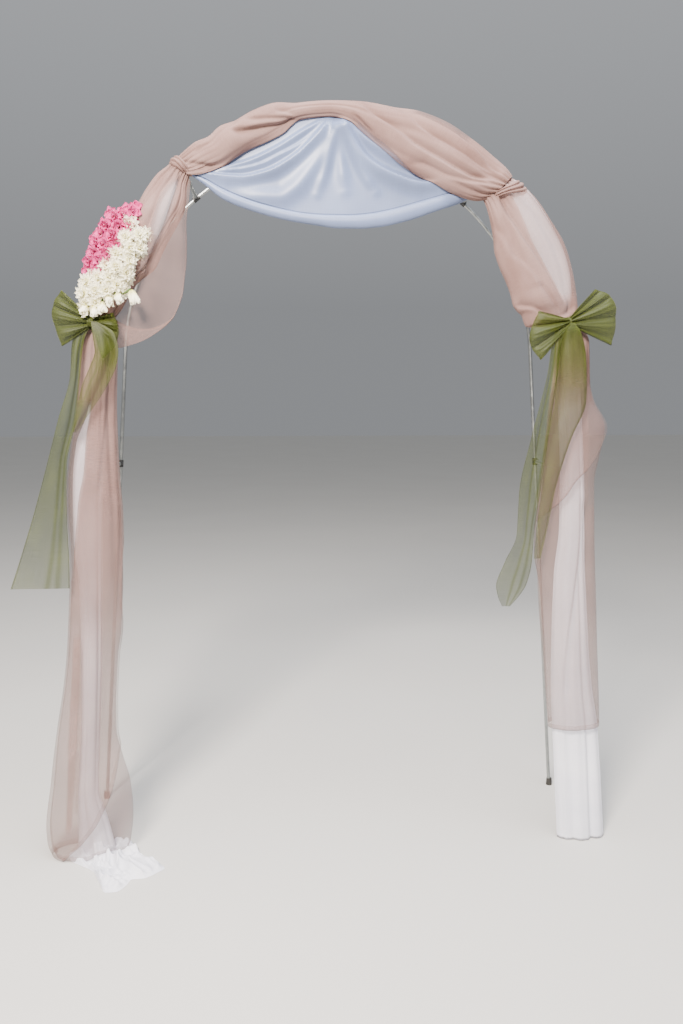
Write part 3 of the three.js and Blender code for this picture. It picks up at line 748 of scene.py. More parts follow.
print("an edge in the middle of the front lies at", round(math.degrees(edge_angle(0.0, 1.0, 0.0))), "degrees")

# %% [markdown]
# Now the whole length of cloth. Smooth lines are laid through the stations, the scroll is wound
# over them row by row, and the folds push it back in. Both flanks stay calm, so the outline is
# smooth, and creases show on the front only. A band is a strip of the front where fewer or more
# layers lie than elsewhere, such as beside the edge of a lap.

# %% Gathered cloth
FLANK_START = 0.88
FLANK_CALM = 0.8
BAND_SOFTNESS = 3 * MM
BAND_FADE = 20 * MM


def line_of(values, rows):
    """Smooth values along the rows, from one number or from pairs of a place and a number."""
    return values if np.isscalar(values) else through(*zip(*sorted(values)), rows)[:, None]


def within(value, low, high, softness):
    above_low = smooth(value, low - softness, low + softness)
    return above_low * (1 - smooth(value, high - softness, high + softness))


def gathered(
    start, end, stations, turns, seam, *, columns, hand=1, edge=None, step=7 * MM, spacing=0.07,
    count=9, seed=1, lean=0.55, sharp=2.2, drift=1.0, fine=0.3, pleats=19, creases=(),
    clearance=9 * MM, cut=1.4, layers=1, bands=(),
):
    """One length of cloth gathered round the front hoop. Each station is a place along the
    hoop, then millimetres: the reach outward, inward, to the front and to the back, the depth
    of the soft folds and of the tight pleats. turns is how often the scroll goes round and
    seam the angle of its outer edge. edge moves that edge about: pairs of a place and how far
    outward the edge lies there. hand is the way the scroll winds, cut the flat cloth's width
    and layers how many real layers each turn stands for. Inside a band it is another number.
    count is the number of soft folds and pleats that of tight ones. fine is the share of the
    smaller folds between, and lean, sharp and drift give all of them their shape."""
    rows = np.linspace(start, end, max(8, int(abs(end - start) / step)))
    table = np.array(sorted(stations))
    out, inward, front, back, soft, tight = (
        through(table[:, 0], table[:, k] * MM, rows)[:, None] for k in range(1, 7)
    )
    share = np.linspace(0, 1, columns)[None, :]
    at = rows[:, None]
    half = (out + inward) / 2
    middle = (out - inward) / 2
    deep = (front + back) / 2
    shift = (back - front) / 2
    last = math.radians(seam)
    turns = line_of(turns, rows)
    first = last - hand * 2 * math.pi * turns
    if edge is not None:
        places, offsets = zip(*sorted(edge))
        last = edge_angle(through(places, np.array(offsets) * MM, rows)[:, None], half, middle)
    turn = first + (last - first) * share
    scale = 1 - spacing * turns * (1 - share)
    aside = middle + scale * half * np.cos(turn)
    forth = shift + scale * deep * np.sin(turn)
    normal = unit(np.stack([np.cos(turn) / half, np.sin(turn) / deep], -1))
    depth = soft * fold_depth(turn, at, count, seed, lean, sharp, drift)
    depth = depth + fine * soft * fold_depth(turn, at, 2 * count + 3, seed + 50, lean, 1.0, 1.5)
    depth = depth * (1 - FLANK_CALM * smooth(np.abs(np.cos(turn)), FLANK_START, 1.0))
    depth = depth + tight * fold_depth(turn, at, pleats, seed + 100, 0.3, 1.2, 0.4)
    facing = smooth(-np.sin(turn), 0.0, 0.4)
    for fold in creases:
        depth = depth + crease_depth(aside, at, facing, fold)
    layers = line_of(layers, rows) * np.ones_like(aside)
    for places, low, high, there in bands:
        low, high = (through(places, np.array(line) * MM, rows)[:, None] for line in (low, high))
        inside = within(aside, low, high, BAND_SOFTNESS) * within(at, places[0], places[-1], BAND_FADE)
        layers = layers + (there - layers) * inside
    aside = aside - normal[..., 0] * depth
    forth = forth - normal[..., 1] * depth
    away = np.hypot(aside, forth)
    push = np.maximum(away, clearance) / np.maximum(away, 1e-6)
    place, outward = hoop_frame(rows)
    grid = place[:, None] + outward[:, None] * (aside * push)[..., None]
    grid[..., 1] += forth * push
    return grid, laid(share * cut, np.abs(at - start), layers)


print("on its edge a band counts for", within(0.0, 0.0, 1.0, BAND_SOFTNESS), "of its layers")

# %% [markdown]
# Places are written down as they were measured: an angle on the round part, a height in
# millimetres on a leg. The lines of creases and bands can run over both. Their angles are under
# 100 and their heights over it, so a single number tells which one is meant.

# %% How places are written down
ANGLES_END = 100


def arc(side, *rows):
    return [(at_angle(side, degrees), *values) for degrees, *values in rows]


def leg(side, *rows):
    return [(at_height(side, height * MM), *values) for height, *values in rows]


def at_place(side, where):
    return at_angle(side, where) if where < ANGLES_END else at_height(side, where * MM)


def layer_band(side, layers, *rows):
    """A strip with its own number of layers: rows of a place, a lower and an upper offset."""
    rows = sorted((at_place(side, where), low, high) for where, low, high in rows)
    return *(list(column) for column in zip(*rows)), layers


def crease(side, line, drop, depth=12, width=35, fade=CREASE_FADE, across=False):
    """A crease from pairs of a place and an offset. drop is the side that it drops to: further
    out or further in, or for one across the bundle further along the hoop or back along it.
    The depth of the drop and the width over which it eases out are in mm."""
    line = [(at_place(side, where), offset * MM) for where, offset in line]
    line = sorted(pair[::-1] if across else pair for pair in line)
    return {"line": line, "side": drop, "depth": depth, "width": width, "fade": fade, "across": across}


print("45 degrees and 1000 mm on the left:", round(at_place(LEFT, 45), 3), round(at_place(LEFT, 1000), 3))

# %% [markdown]
# ## White lining
#
# Under the voile each side of the hoop wears a sleeve of plain white cloth, from the knot down
# to the ground. Through the sheer voile it shows as a pale band, and at the bottom it hangs
# free. It is bunched tightly, so its folds are deep for its size.

# %% Lining sleeves
FLOOR_GAP = 1.5 * MM

left_lining_shape = [
    *arc(LEFT, (50.2, 20, 14, 16, 15, 2, 2), (47, 22, 34, 20, 18, 4, 1), (42, 6, 64, 24, 22, 4, 0),
         (36, 4, 84, 27, 25, 4, 0), (29, 8, 84, 27, 25, 4, 0), (20, 12, 64, 26, 25, 4, 0),
         (7.5, 18, 20, 20, 20, 4, 2)),
    *leg(LEFT, (1500, 26, 31, 25, 25, 5, 0), (1400, 36, 30, 27, 26, 5, 0), (1300, 66, 24, 29, 28, 5, 0),
         (1205, 72, 20, 30, 29, 5, 0), (1025, 64, 24, 30, 30, 5, 0), (850, 40, 30, 31, 31, 5, 0),
         (593, 26, 38, 33, 32, 5, 0), (401, 20, 40, 34, 34, 5, 0), (214, 22, 44, 36, 34, 6, 0),
         (110, 18, 78, 40, 36, 7, 0), (0, 14, 112, 44, 38, 9, 1)),
]
right_lining_shape = [
    *arc(RIGHT, (46.6, 30, 10, 18, 17, 2, 1), (45, 40, 12, 19, 17, 2, 1), (43.4, 48, 18, 20, 18, 3, 1),
         (39, 54, 44, 23, 22, 4, 0), (32, 55, 58, 24, 26, 4, 0), (24, 57, 62, 22, 28, 4, 0),
         (15, 40, 52, 20, 26, 4, 0), (8.4, 20, 20, 21, 21, 4, 2)),
    *leg(RIGHT, (1500, 40, 30, 26, 26, 6, 1), (1300, 44, 32, 28, 28, 6, 1), (1040, 42, 44, 30, 30, 6, 1),
         (900, 38, 66, 31, 31, 6, 1), (650, 40, 86, 33, 33, 7, 1), (500, 48, 94, 34, 34, 9, 1),
         (385, 60, 96, 35, 35, 11, 1), (0, 68, 96, 38, 38, 13, 1)),
]
left_lining = gathered(
    at_height(LEFT, FLOOR_GAP), at_angle(LEFT, 50.2), left_lining_shape, 1.5, 60,
    columns=150, step=9 * MM, count=5, seed=11, clearance=12 * MM, cut=0.4, drift=0.6, fine=0.1, pleats=13,
)
right_lining = gathered(
    at_height(RIGHT, FLOOR_GAP), at_angle(RIGHT, 46.5), right_lining_shape, 1.5, 60,
    columns=150, step=9 * MM, count=6, seed=12, clearance=12 * MM, cut=0.45, drift=0.6, fine=0.2, pleats=13,
    creases=[crease(RIGHT, [(1120, 26), (1020, 20), (833, -9), (646, -42), (500, -56)], 1, 12, 18)],
)
sleeves = {"left_lining_cloth": (left_lining, 0.36), "right_lining_cloth": (right_lining, 0.42)}
for name, (sheet, width) in sleeves.items():
    piece = dress(name, [turned_hem(sheet, "first row", 2)], white_lining, [name[:-6]])

# %% [markdown]
# ## Rose voile on the shoulders
#
# From each knot the voile falls inside the curve of the hoop to the bow below it. The weight
# pulls it away from the bar, so it reaches much further inward than outward. The creases are
# placed where the real cloth laps over itself.

# %% Left shoulder drape
left_shoulder_shape = arc(
    LEFT, (50.5, 34, 26, 26, 24, 6, 6), (47.5, 36, 52, 34, 28, 7, 4), (44.8, 40, 80, 42, 32, 6, 2),
    (41.5, 36, 98, 50, 35, 6, 0.5), (34, 24, 108, 55, 38, 7, 0), (26, 22, 112, 55, 40, 7, 0),
    (19, 24, 74, 50, 39, 8, 0.5), (12, 32, 50, 40, 36, 8, 3), (8.5, 28, 30, 32, 30, 7, 7),
    (7, 27, 28, 28, 28, 7, 8),
)
left_shoulder_creases = [
    crease(LEFT, [(49.6, -3), (43.3, -44), (39.1, -64), (31.9, -84), (23, -92)], -1, 22, 22),
    crease(LEFT, [(48, -8), (45, -8), (42.6, -12), (36, -38), (29, -62), (22, -73)], 1, 11, 10),
    crease(LEFT, [(47.6, 20), (44.1, 13), (41.5, 4), (38.6, -12)], 1, 8, 14),
    crease(LEFT, [(46, -54), (42, -80), (36, -96)], -1, 7, 10),
]
left_shoulder = gathered(
    at_angle(LEFT, 7.1), at_angle(LEFT, 50.3), left_shoulder_shape, 1.25, 110,
    columns=290, step=5 * MM, count=8, seed=26, drift=0.6, fine=0.15, creases=left_shoulder_creases, layers=4,
    bands=[layer_band(LEFT, 1.5, (47, -26, -8), (42.6, -50, -12), (36, -80, -38), (29, -92, -62),
                      (22, -98, -73)),
           layer_band(LEFT, 2.4, (46, -46, -30), (42.6, -72, -52), (39, -96, -70), (34, -106, -84),
                      (28, -104, -92))],
)
print("left shoulder drape,", len(left_shoulder[0]), "rows of points")

# %% [markdown]
# The right one hangs deeper. Just above its bow the bag of cloth folds over on itself, which is
# the crease that runs across.

# %% Right shoulder drape
right_shoulder_shape = arc(
    RIGHT, (48, 26, 66, 22, 24, 4, 6), (46, 38, 72, 30, 28, 5, 8), (43, 48, 88, 40, 32, 6, 4),
    (37, 57, 122, 51, 37, 6, 0.5), (32.5, 58, 145, 57, 41, 6, 0), (27, 63, 153, 62, 44, 6, 0),
    (20, 57, 152, 66, 45, 6, 0), (16.6, 53, 154, 67, 44, 5, 0), (14.2, 50, 146, 64, 42, 5, 0),
    (12.6, 48, 134, 58, 39, 5, 0), (10.6, 46, 131, 54, 36, 5, 0.5), (9.2, 44, 127, 50, 34, 5, 2),
    (8.5, 36, 104, 42, 31, 6, 5), (8.0, 30, 50, 34, 29, 6, 7), (7.6, 28, 34, 30, 28, 6, 8),
)
right_shoulder_creases = [
    crease(RIGHT, [(46.6, -20), (42, -44), (38, -52), (33, -52), (27.3, -44), (20, -26), (14, -6)],
           1, 28, 22),
    crease(RIGHT, [(40, -104), (30.3, -104), (25.4, -84), (17.9, -58), (12.4, -30)], 1, 9, 46),
    crease(RIGHT, [(45.5, -2), (38, 10), (31, 28), (22, 34)], -1, 9, 20),
    crease(RIGHT, [(15.6, -150), (13.6, -100), (11, -62), (9.8, -29), (10.2, 0), (11.6, 30)], -1, 17, 26,
           16 * MM, across=True),
    crease(RIGHT, [(20, -60), (15.6, -40), (12.4, -22), (10.8, -12)], -1, 10, 26, 20 * MM),
]
right_shoulder = gathered(
    at_angle(RIGHT, 7.7), at_angle(RIGHT, 47.2), right_shoulder_shape, 1.25, 70,
    columns=290, step=4.5 * MM, count=6, seed=23, drift=0.7, fine=0.1, creases=right_shoulder_creases,
    layers=4,
    bands=[layer_band(RIGHT, 1.5, (45, 4, 70), (41, -8, 80), (36, -24, 80), (30, -34, 80), (24, -28, 80),
                      (18, -12, 76), (14, 0, 70))],
)
shoulder_drapes = (
    ("left_shoulder_drape", left_shoulder, 0.62), ("right_shoulder_drape", right_shoulder, 0.6)
)
for name, sheet, length in shoulder_drapes:
    piece = dress(name, [sheet], rose_voile, [name.replace("drape", "voile")])

# %% [markdown]
# ## Rose voile on the legs
#
# Below each bow the same cloth opens out again and hangs almost straight, held only by its
# own weight. Pleats leave the bow in a fan and soften into a few long folds. On the left the
# cloth reaches the ground, and its outer edge wanders across the front on the way down.

# %% Left leg drape
left_leg_shape = [
    *arc(LEFT, (7.9, 28, 30, 28, 28, 5, 8), (6, 30, 32, 31, 30, 6, 8)),
    *leg(LEFT, (1640, 46, 38, 36, 33, 7, 8), (1600, 60, 46, 41, 36, 8, 7), (1439, 70, 50, 48, 44, 10, 4),
         (1320, 81, 58, 51, 47, 7, 2), (1180, 92, 72, 54, 50, 6, 0), (1120, 91, 80, 56, 52, 6, 0),
         (1000, 79, 89, 58, 54, 6, 0), (850, 73, 97, 60, 56, 6, 0), (740, 73, 97, 61, 57, 6, 0),
         (650, 75, 90, 62, 58, 6, 0), (580, 79, 89, 63, 59, 6, 0), (414, 97, 95, 66, 62, 6, 0),
         (330, 105, 118, 67, 63, 6, 0), (231, 112, 150, 68, 64, 6, 0), (114, 121, 163, 71, 66, 6, 0),
         (39, 112, 158, 74, 66, 5, 0), (0, 92, 142, 76, 64, 5, 0)),
]
left_leg_creases = [
    crease(LEFT, [(1580, -6), (1526, 2), (1479, 8), (1410, 18), (1331, 30), (1222, 34), (1145, 46),
                  (1025, 54), (900, 60)], 1, 15, 20),
    crease(LEFT, [(1500, -30), (1380, -26), (1250, -20), (1150, -14)], -1, 7, 26),
    crease(LEFT, [(1400, -50), (1293, -62), (1204, -68), (1084, -78), (901, -84), (778, -86)], -1, 8, 16),
    crease(LEFT, [(800, 30), (593, 24), (405, 20), (214, 26), (100, 30)], 1, 7, 14),
    crease(LEFT, [(820, -24), (593, -36), (401, -39), (214, -44)], -1, 8, 22),
]
left_leg_edge = leg(
    LEFT, (1640, -50), (1300, -66), (1100, -84), (700, -99), (485, -105), (380, -108), (310, -106),
    (247, -98), (204, -86), (158, -69), (119, -52), (87, -29), (54, -2), (24, 29), (4, 45),
)
left_leg = gathered(
    at_height(LEFT, 4 * MM), at_angle(LEFT, 7.8), left_leg_shape,
    leg(LEFT, (0, 1.5), (1350, 1.5), (1640, 1.15)), 190,
    hand=-1, columns=210, step=8 * MM, count=5, seed=31, drift=0.6, fine=0.1, creases=left_leg_creases,
    layers=leg(LEFT, (0, 0.7), (640, 0.7), (850, 1.1), (1250, 1.8), (1640, 3)), edge=left_leg_edge,
    bands=[layer_band(LEFT, 0.5, (1430, 20, 100), (1331, 30, 110), (1222, 34, 120), (1145, 46, 120),
                      (1025, 54, 120), (880, 62, 130), (740, 72, 130)),
           layer_band(LEFT, 1.6, (720, 26, 46), (593, 24, 45), (405, 20, 47), (214, 26, 44), (104, 28, 44))],
)

# The end of the lining lies on the ground here, and the front of the voile's hem rests on it
TRAIN_THICKNESS = 26 * MM
FADES_OVER = 50 * MM
TRAIN_LEFT = -0.81
TRAIN_FULL = -0.74
leg_grid = left_leg[0]
over_train = smooth(FRONT_Y - leg_grid[..., 1], 0, FADES_OVER)
over_train = over_train * smooth(leg_grid[..., 0] - CENTRE_X, TRAIN_LEFT, TRAIN_FULL)
leg_grid[..., 2] += TRAIN_THICKNESS * over_train * np.exp(-leg_grid[..., 2] / FADES_OVER)
print("left leg drape,", len(leg_grid), "rows of points")

# %% [markdown]
# On the right the voile stops above the ground and shows the lining. On each leg the outer
# edge and the bottom are hemmed.

# %% Right leg drape
right_leg_shape = [
    *arc(RIGHT, (8.6, 28, 30, 28, 28, 5, 8), (6.8, 30, 32, 31, 30, 6, 8)),
    *leg(RIGHT, (1650, 52, 32, 35, 33, 7, 8), (1606, 74, 34, 40, 36, 8, 6), (1485, 72, 50, 46, 42, 8, 3),
         (1438, 80, 60, 48, 44, 8, 1), (1345, 120, 74, 54, 48, 7, 0), (1252, 97, 88, 54, 50, 7, 0),
         (1180, 80, 100, 56, 52, 7, 0), (1127, 78, 108, 57, 53, 7, 0), (935, 73, 128, 61, 57, 5, 0),
         (803, 72, 129, 62, 58, 5, 0), (640, 70, 122, 61, 57, 5, 0), (506, 70, 118, 60, 56, 5, 0),
         (385, 68, 114, 56, 52, 5, 0)),
]
right_leg_creases = [
    crease(RIGHT, [(1120, 34), (1020, 20), (833, -9), (646, -42), (480, -56)], 1, 12, 24),
    crease(RIGHT, [(1400, -10), (1206, -27), (1085, -38), (968, -60), (791, -79)], -1, 8, 30),
    crease(RIGHT, [(1000, 30), (817, 18), (655, 12), (490, 12), (390, 12)], 1, 6, 20),
]
right_leg_edge = leg(
    RIGHT, (1640, 90), (1440, 90), (1345, 118), (1302, 96), (1239, 55), (1182, -5), (1142, -36),
    (1080, -106), (1000, -150), (800, -200), (385, -170),
)
right_leg = gathered(
    at_height(RIGHT, 385 * MM), at_angle(RIGHT, 8.5), right_leg_shape, 1.43, 330,
    columns=210, step=8 * MM, count=5, seed=33, drift=0.6, fine=0.12, creases=right_leg_creases,
    layers=leg(RIGHT, (385, 1), (1400, 1), (1500, 1.8), (1650, 3)), edge=right_leg_edge,
    bands=[layer_band(RIGHT, 0.55, (1430, 56, 140), (1380, 48, 140), (1300, 48, 140), (1200, 44, 130),
                      (1100, 40, 120))],
)
leg_drapes = (("left_leg_drape", left_leg, 1.66, 3), ("right_leg_drape", right_leg, 1.28, 2))
for name, sheet, length, steps in leg_drapes:
    hemmed = turned_hem(turned_hem(sheet, "last column", steps), "first row", 2)
    piece = dress(name, [hemmed], rose_voile, [name.replace("drape", "voile")])

# %% [markdown]
# ## The swag
#
# A triangle of white satin hangs from the peak of the hoop and from the two knots, and its
# lower edge is a thick soft roll. The cloth is held at three points, so its folds are chains:
# each sags between the peak and one of the ends. The surface is a gentle slope with those
# folds laid on it as ridges, steep above and easing out below.
#
# Everything here is in millimetres: across from the middle, and up from the floor. After its
# line each ridge has its height, and how far it reaches above the line and below it.

# %% Lines of the swag
swag_left = -425
swag_right = 446
swag_top = [
    (-425, 2118), (-330, 2176), (-240, 2218), (-120, 2256), (0, 2268), (120, 2256), (240, 2220),
    (340, 2165), (452, 2085),
]
swag_crease = [
    (-425, 2092), (-393, 2080), (-335, 2050), (-276, 2026), (-216, 2008), (-156, 1994), (-102, 1985),
    (-36, 1981), (30, 1981), (90, 1986), (149, 1997), (246, 2024), (330, 2048), (400, 2066), (452, 2078),
]
swag_hem = [
    (-425, 2084), (-393, 2062), (-335, 2019), (-246, 1986), (-157, 1964), (-66, 1950), (7, 1942),
    (61, 1942), (121, 1947), (207, 1966), (293, 1995), (350, 2015), (400, 2040), (452, 2070),
]
ridges = [
    ([(-12, 2262), (-70, 2196), (-137, 2138), (-212, 2098), (-286, 2082), (-338, 2084), (-415, 2094)],
     16, 6, 20),
    ([(-14, 2262), (-115, 2177), (-172, 2147), (-230, 2119), (-287, 2104), (-360, 2094)], 6, 5, 12),
    ([(-16, 2262), (-99, 2217), (-174, 2170), (-249, 2133), (-300, 2116), (-352, 2103), (-410, 2100)],
     11, 6, 14),
    ([(-8, 2258), (-40, 2169), (-85, 2103), (-130, 2053), (-175, 2030), (-250, 2033), (-330, 2058)],
     11, 26, 26),
    ([(0, 2262), (40, 2200), (85, 2140), (165, 2095), (255, 2072), (360, 2086)], 22, 10, 26),
    ([(8, 2262), (100, 2185), (190, 2140), (300, 2110)], 16, 9, 18),
    ([(-2, 2255), (8, 2150), (20, 2050)], 8, 18, 18),
    ([(-4, 2255), (-30, 2130), (-62, 2040)], 7, 14, 14),
    ([(2, 2258), (60, 2120), (110, 2050)], 8, 16, 16),
]


def ridge_height(x, z, line, height, above, below):
    """Height of a ridge along a line: steep on its upper side, easing out on its lower one."""
    points = np.array(line, float)
    path = np.linspace(0, 1, 90)
    knots = np.linspace(0, 1, len(points))
    xs = through(knots, points[:, 0], path)
    zs = through(knots, points[:, 1], path)
    nearest = np.argmin((x[..., None] - xs) ** 2 + (z[..., None] - zs) ** 2, -1)
    dx = x - xs[nearest]
    dz = z - zs[nearest]
    tx = np.gradient(xs)[nearest]
    tz = np.gradient(zs)[nearest]
    across = (tx * dz - tz * dx) / np.hypot(tx, tz)
    upper = across * np.sign(tx + 1e-9) > 0
    far = np.hypot(dx, dz)
    along = path[nearest]
    taper = smooth(along, 0.0, 0.12) * (1 - 0.6 * smooth(along, 0.75, 1.0))
    return height * taper * np.exp(-((far / np.where(upper, above, below)) ** 2))


print("swag", swag_right - swag_left, "mm wide with", len(ridges), "ridges")

# %% [markdown]
# The slope comes forward a little on its way down. Near the right knot the cloth goes behind
# the voile, so there it is set back. The roll starts at the crease under the slope and curls
# forward, down and back in.

# %% Satin swag
SWAG_COLUMNS = 250
SWAG_ROWS = 100
SATIN_OFFSET = 4
SLOPE_FORWARD = 8
SETBACK_START = 300
SLOPE_SETBACK = 40
ROLL_ROWS = 22
ROLL_FORWARD = 6
ROLL_SETBACK = 44
ROLL_HALF_TURNS = 1.35
THICKEST_ROLL = 13
FLAT_TOP = 2300

across = np.linspace(swag_left, swag_right, SWAG_COLUMNS)[None, :]
down = np.linspace(0, 1, SWAG_ROWS)[:, None]
top, fold, hem = (through(*zip(*line), across) for line in (swag_top, swag_crease, swag_hem))
up = top + (fold - top) * down
setback = smooth(across, SETBACK_START, swag_right)
forward = sum(ridge_height(np.broadcast_to(across, up.shape), up, *ridge) for ridge in ridges)
forward = forward + SLOPE_FORWARD * down - SLOPE_SETBACK * setback

swing = math.pi * (0.5 - ROLL_HALF_TURNS * np.linspace(0, 1, ROLL_ROWS)[:, None])
roll_height = (fold - hem) / 2
roll_depth = np.minimum(THICKEST_ROLL, 2 + roll_height * 0.7)
roll_up = (fold + hem) / 2 + roll_height * np.sin(swing)
roll_forward = ROLL_FORWARD + roll_depth * np.cos(swing) - ROLL_SETBACK * setback
roll_up[0] = up[-1] - 1
roll_forward[0] = forward[-1] - 3

all_up = np.concatenate([up, roll_up])
all_forward = SATIN_OFFSET + np.concatenate([forward, roll_forward])
swag_points = np.stack(
    [CENTRE_X + np.broadcast_to(across, all_up.shape) * MM, FRONT_Y - all_forward * MM, all_up * MM], -1
)
swag_flat = laid(across * MM, (FLAT_TOP - all_up) * MM)
swag = dress("satin_swag", [(swag_points, swag_flat)], white_satin, ["swag"])

# %% [markdown]
# The crown drape lies on the satin, so it has to know how far forward the satin stands. That is
# read off the satin's own grid.

# %% Front of the satin


def satin_front(x, z):
    """How far the satin stands in front of the hoop at places in mm, read off its grid."""
    high, low = (through(*zip(*line), x) for line in (swag_top, swag_crease))
    row = np.clip((high - z) / (high - low), 0, 1) * (SWAG_ROWS - 1)
    column = np.clip((x - swag_left) / (swag_right - swag_left), 0, 1) * (SWAG_COLUMNS - 1)
    i = np.minimum(row.astype(int), SWAG_ROWS - 2)
    j = np.minimum(column.astype(int), SWAG_COLUMNS - 2)
    s = row - i
    t = column - j
    upper = forward[i, j] * (1 - t) + forward[i, j + 1] * t
    lower = forward[i + 1, j] * (1 - t) + forward[i + 1, j + 1] * t
    return SATIN_OFFSET + upper * (1 - s) + lower * s


middle_front = satin_front(np.array([0.0]), np.array([2100.0]))[0]
print(f"in its middle the satin stands {middle_front:.1f} mm in front of the hoop")

# %% [markdown]
# ## Rose voile on the crown
#
# The voile was wound along the top of the hoop. Left of the middle it lies in one broad smooth
# band with a rolled strip above it, and the strip dives under the band at two places. Right of
# the middle four long folds sweep down from the peak to the knot.

# %% Crown drape
crown_shape = [
    *arc(LEFT, (49.6, 34, 24, 26, 26, 6, 8), (52, 36, 48, 32, 28, 7, 6), (55.5, 38, 62, 38, 30, 5, 3),
         (59, 30, 68, 44, 33, 3, 1), (62.5, 38, 64, 50, 35, 1, 0), (66, 34, 60, 50, 35, 1, 0),
         (70.5, 42, 58, 46, 34, 2, 0), (75.5, 47, 48, 38, 31, 3, 0),
         (81, 34, 16, 28, 25, 3, 0.3), (88, 34, 14, 26, 24, 3, 0.3)),
    *arc(RIGHT, (87, 35, 30, 30, 26, 3, 0.3), (84, 37, 56, 38, 30, 4, 0.2), (78, 36, 94, 50, 34, 5, 0),
         (71, 48, 124, 59, 38, 5, 0), (64.5, 51, 133, 63, 40, 5, 0), (58, 47, 129, 62, 40, 6, 0),
         (52, 46, 112, 54, 37, 7, 1), (48, 48, 88, 44, 34, 7, 4), (46.4, 46, 66, 38, 32, 6, 6),
         (44.8, 42, 34, 32, 31, 6, 8)),
]
crown_creases = [
    crease(LEFT, [(79.9, -18), (75.6, -21), (72, -16), (67.9, -8), (64.3, 11)], -1, 22, 26, 20 * MM),
    crease(LEFT, [(79.8, -12), (77.6, 6), (75.4, 18)], 1, 12, 12, 15 * MM),
    crease(LEFT, [(79.7, -14), (75.9, -4), (72, 8), (68.3, 22)], -1, 13, 10, 20 * MM),
    crease(LEFT, [(66.5, 34), (62, 20), (58, 10), (54, 12)], -1, 9, 12, 20 * MM),
    crease(LEFT, [(50.4, 17), (52.5, -8), (54.8, -36), (56.7, -52)], -1, 12, 20, 20 * MM),
    crease(RIGHT, [(86.3, -7), (85, -19), (83.3, -36), (81.1, -53)], -1, 11, 22, 20 * MM),
    crease(RIGHT, [(84, 14), (82, 2), (77.9, -20), (74.2, -38), (69.5, -58), (64.9, -64), (59.6, -64),
                   (53.8, -55), (48.2, -15)], 1, 26, 26),
    crease(RIGHT, [(76, 30), (73, 18), (70.6, -1), (64.5, -14), (55.1, -10), (49.4, 0)], 1, 18, 24),
    crease(RIGHT, [(69, -112), (65.5, -102), (59.7, -98), (54.4, -78), (47.3, -27)], 1, 14, 18),
    crease(RIGHT, [(62, 32), (55, 24), (50.9, 14), (47.9, 14)], 1, 10, 14, 20 * MM),
]
crown = gathered(
    at_angle(LEFT, 49.8), at_angle(RIGHT, 45.6), crown_shape, 1.5, 95,
    columns=300, step=5.5 * MM, count=5, seed=41, drift=0.6, fine=0.1, creases=crown_creases, layers=5,
    bands=[layer_band(RIGHT, 1.2, (86, -60, -18), (82, -96, -54), (77, -126, -80), (71, -150, -112),
                      (67, -160, -126)),
           layer_band(RIGHT, 1, (73, 34, 80), (66, 26, 80), (58, 24, 70))],
)
print("crown drape,", len(crown[0]), "rows of points")

# %% [markdown]
# Where the drape hangs over the satin its front has to lie on the satin, the outer layers
# further out than the inner ones. A hard limit would leave a kink along the line where the two
# meet, so a soft one is used. Everything is in millimetres again.

# %% Crown drape laid on the satin
LIFT_SOFTNESS = 7
LIFT_GAP = 3
crown_grid, crown_flat = crown
crown_across = (crown_grid[..., 0] - CENTRE_X) / MM
crown_up = crown_grid[..., 2] / MM
ahead = (FRONT_Y - crown_grid[..., 1]) / MM
on_satin = smooth(crown_across, swag_left - 40, swag_left - 15)
on_satin = on_satin * (1 - smooth(crown_across, swag_right - 90, swag_right - 30))
on_satin = on_satin * smooth(through(*zip(*swag_top), crown_across) - crown_up, -14, 6)
on_satin = on_satin * smooth(ahead, -5, -2)
needed = satin_front(crown_across, crown_up) + LIFT_GAP * (1 + crown_flat[..., 0])
lift = LIFT_SOFTNESS * np.logaddexp(0, (needed - ahead) / LIFT_SOFTNESS)
crown_grid[..., 1] -= lift * on_satin * MM
crown_piece = dress("crown_drape", [crown], rose_voile, ["crown_voile"])

# %% [markdown]
# ## Knots
#
# Where the crown drape meets each shoulder the voile is tied round with a narrow twist of
# itself. The twist is a band: its folds run round the bundle and not along it.

# %% Knot bands
BAND_COLUMNS = 34
BAND_ROWS = 150
BAND_OVERLAP = 1.15
LAP_RISE = 2 * MM


def band(middle, reach, half_width, bulge, folds, fold_size, tilt=0.0, pinch=0.0, seam=95):
    """A band of cloth wound round the bundle, with folds that run round it. reach is outward,
    inward, to the front and to the back, in mm. The band is wider on the outside of the hoop by
    the pinch, and tilt turns it so that it doesn't sit square."""
    share = np.linspace(0, 1, BAND_ROWS)[:, None]
    turn = math.radians(seam) - 2 * math.pi * BAND_OVERLAP * (1 - share)
    across = np.linspace(-1, 1, BAND_COLUMNS)[None, :]
    out, inward, front, back = (value * MM for value in reach)
    half = (out + inward) / 2
    deep = (front + back) / 2
    half_width = half_width * (1 + pinch * np.cos(turn))
    rise = bulge * np.sqrt(np.maximum(1 - across**2, 0))
    phase = folds * np.pi * across + 1.2 * np.sin(turn * 2) + 3 * np.sin(turn)
    wave = fold_size * (0.5 + 0.5 * np.cos(phase)) ** 2
    rise = rise - wave * (1 - across**4) + LAP_RISE * share
    normal = unit(np.stack([np.cos(turn) / half, np.sin(turn) / deep], -1))
    aside = (out - inward) / 2 + half * np.cos(turn) + normal[..., 0] * rise
    forth = (back - front) / 2 + deep * np.sin(turn) + normal[..., 1] * rise
    at = middle + half_width * across + tilt * np.cos(turn)
    place, outward = hoop_frame(at)
    grid = place + outward * aside[..., None]
    grid[..., 1] += forth
    length = 2 * math.pi * math.sqrt((half**2 + deep**2) / 2) * BAND_OVERLAP
    return grid, laid(across * half_width * 2, share * length, 4)


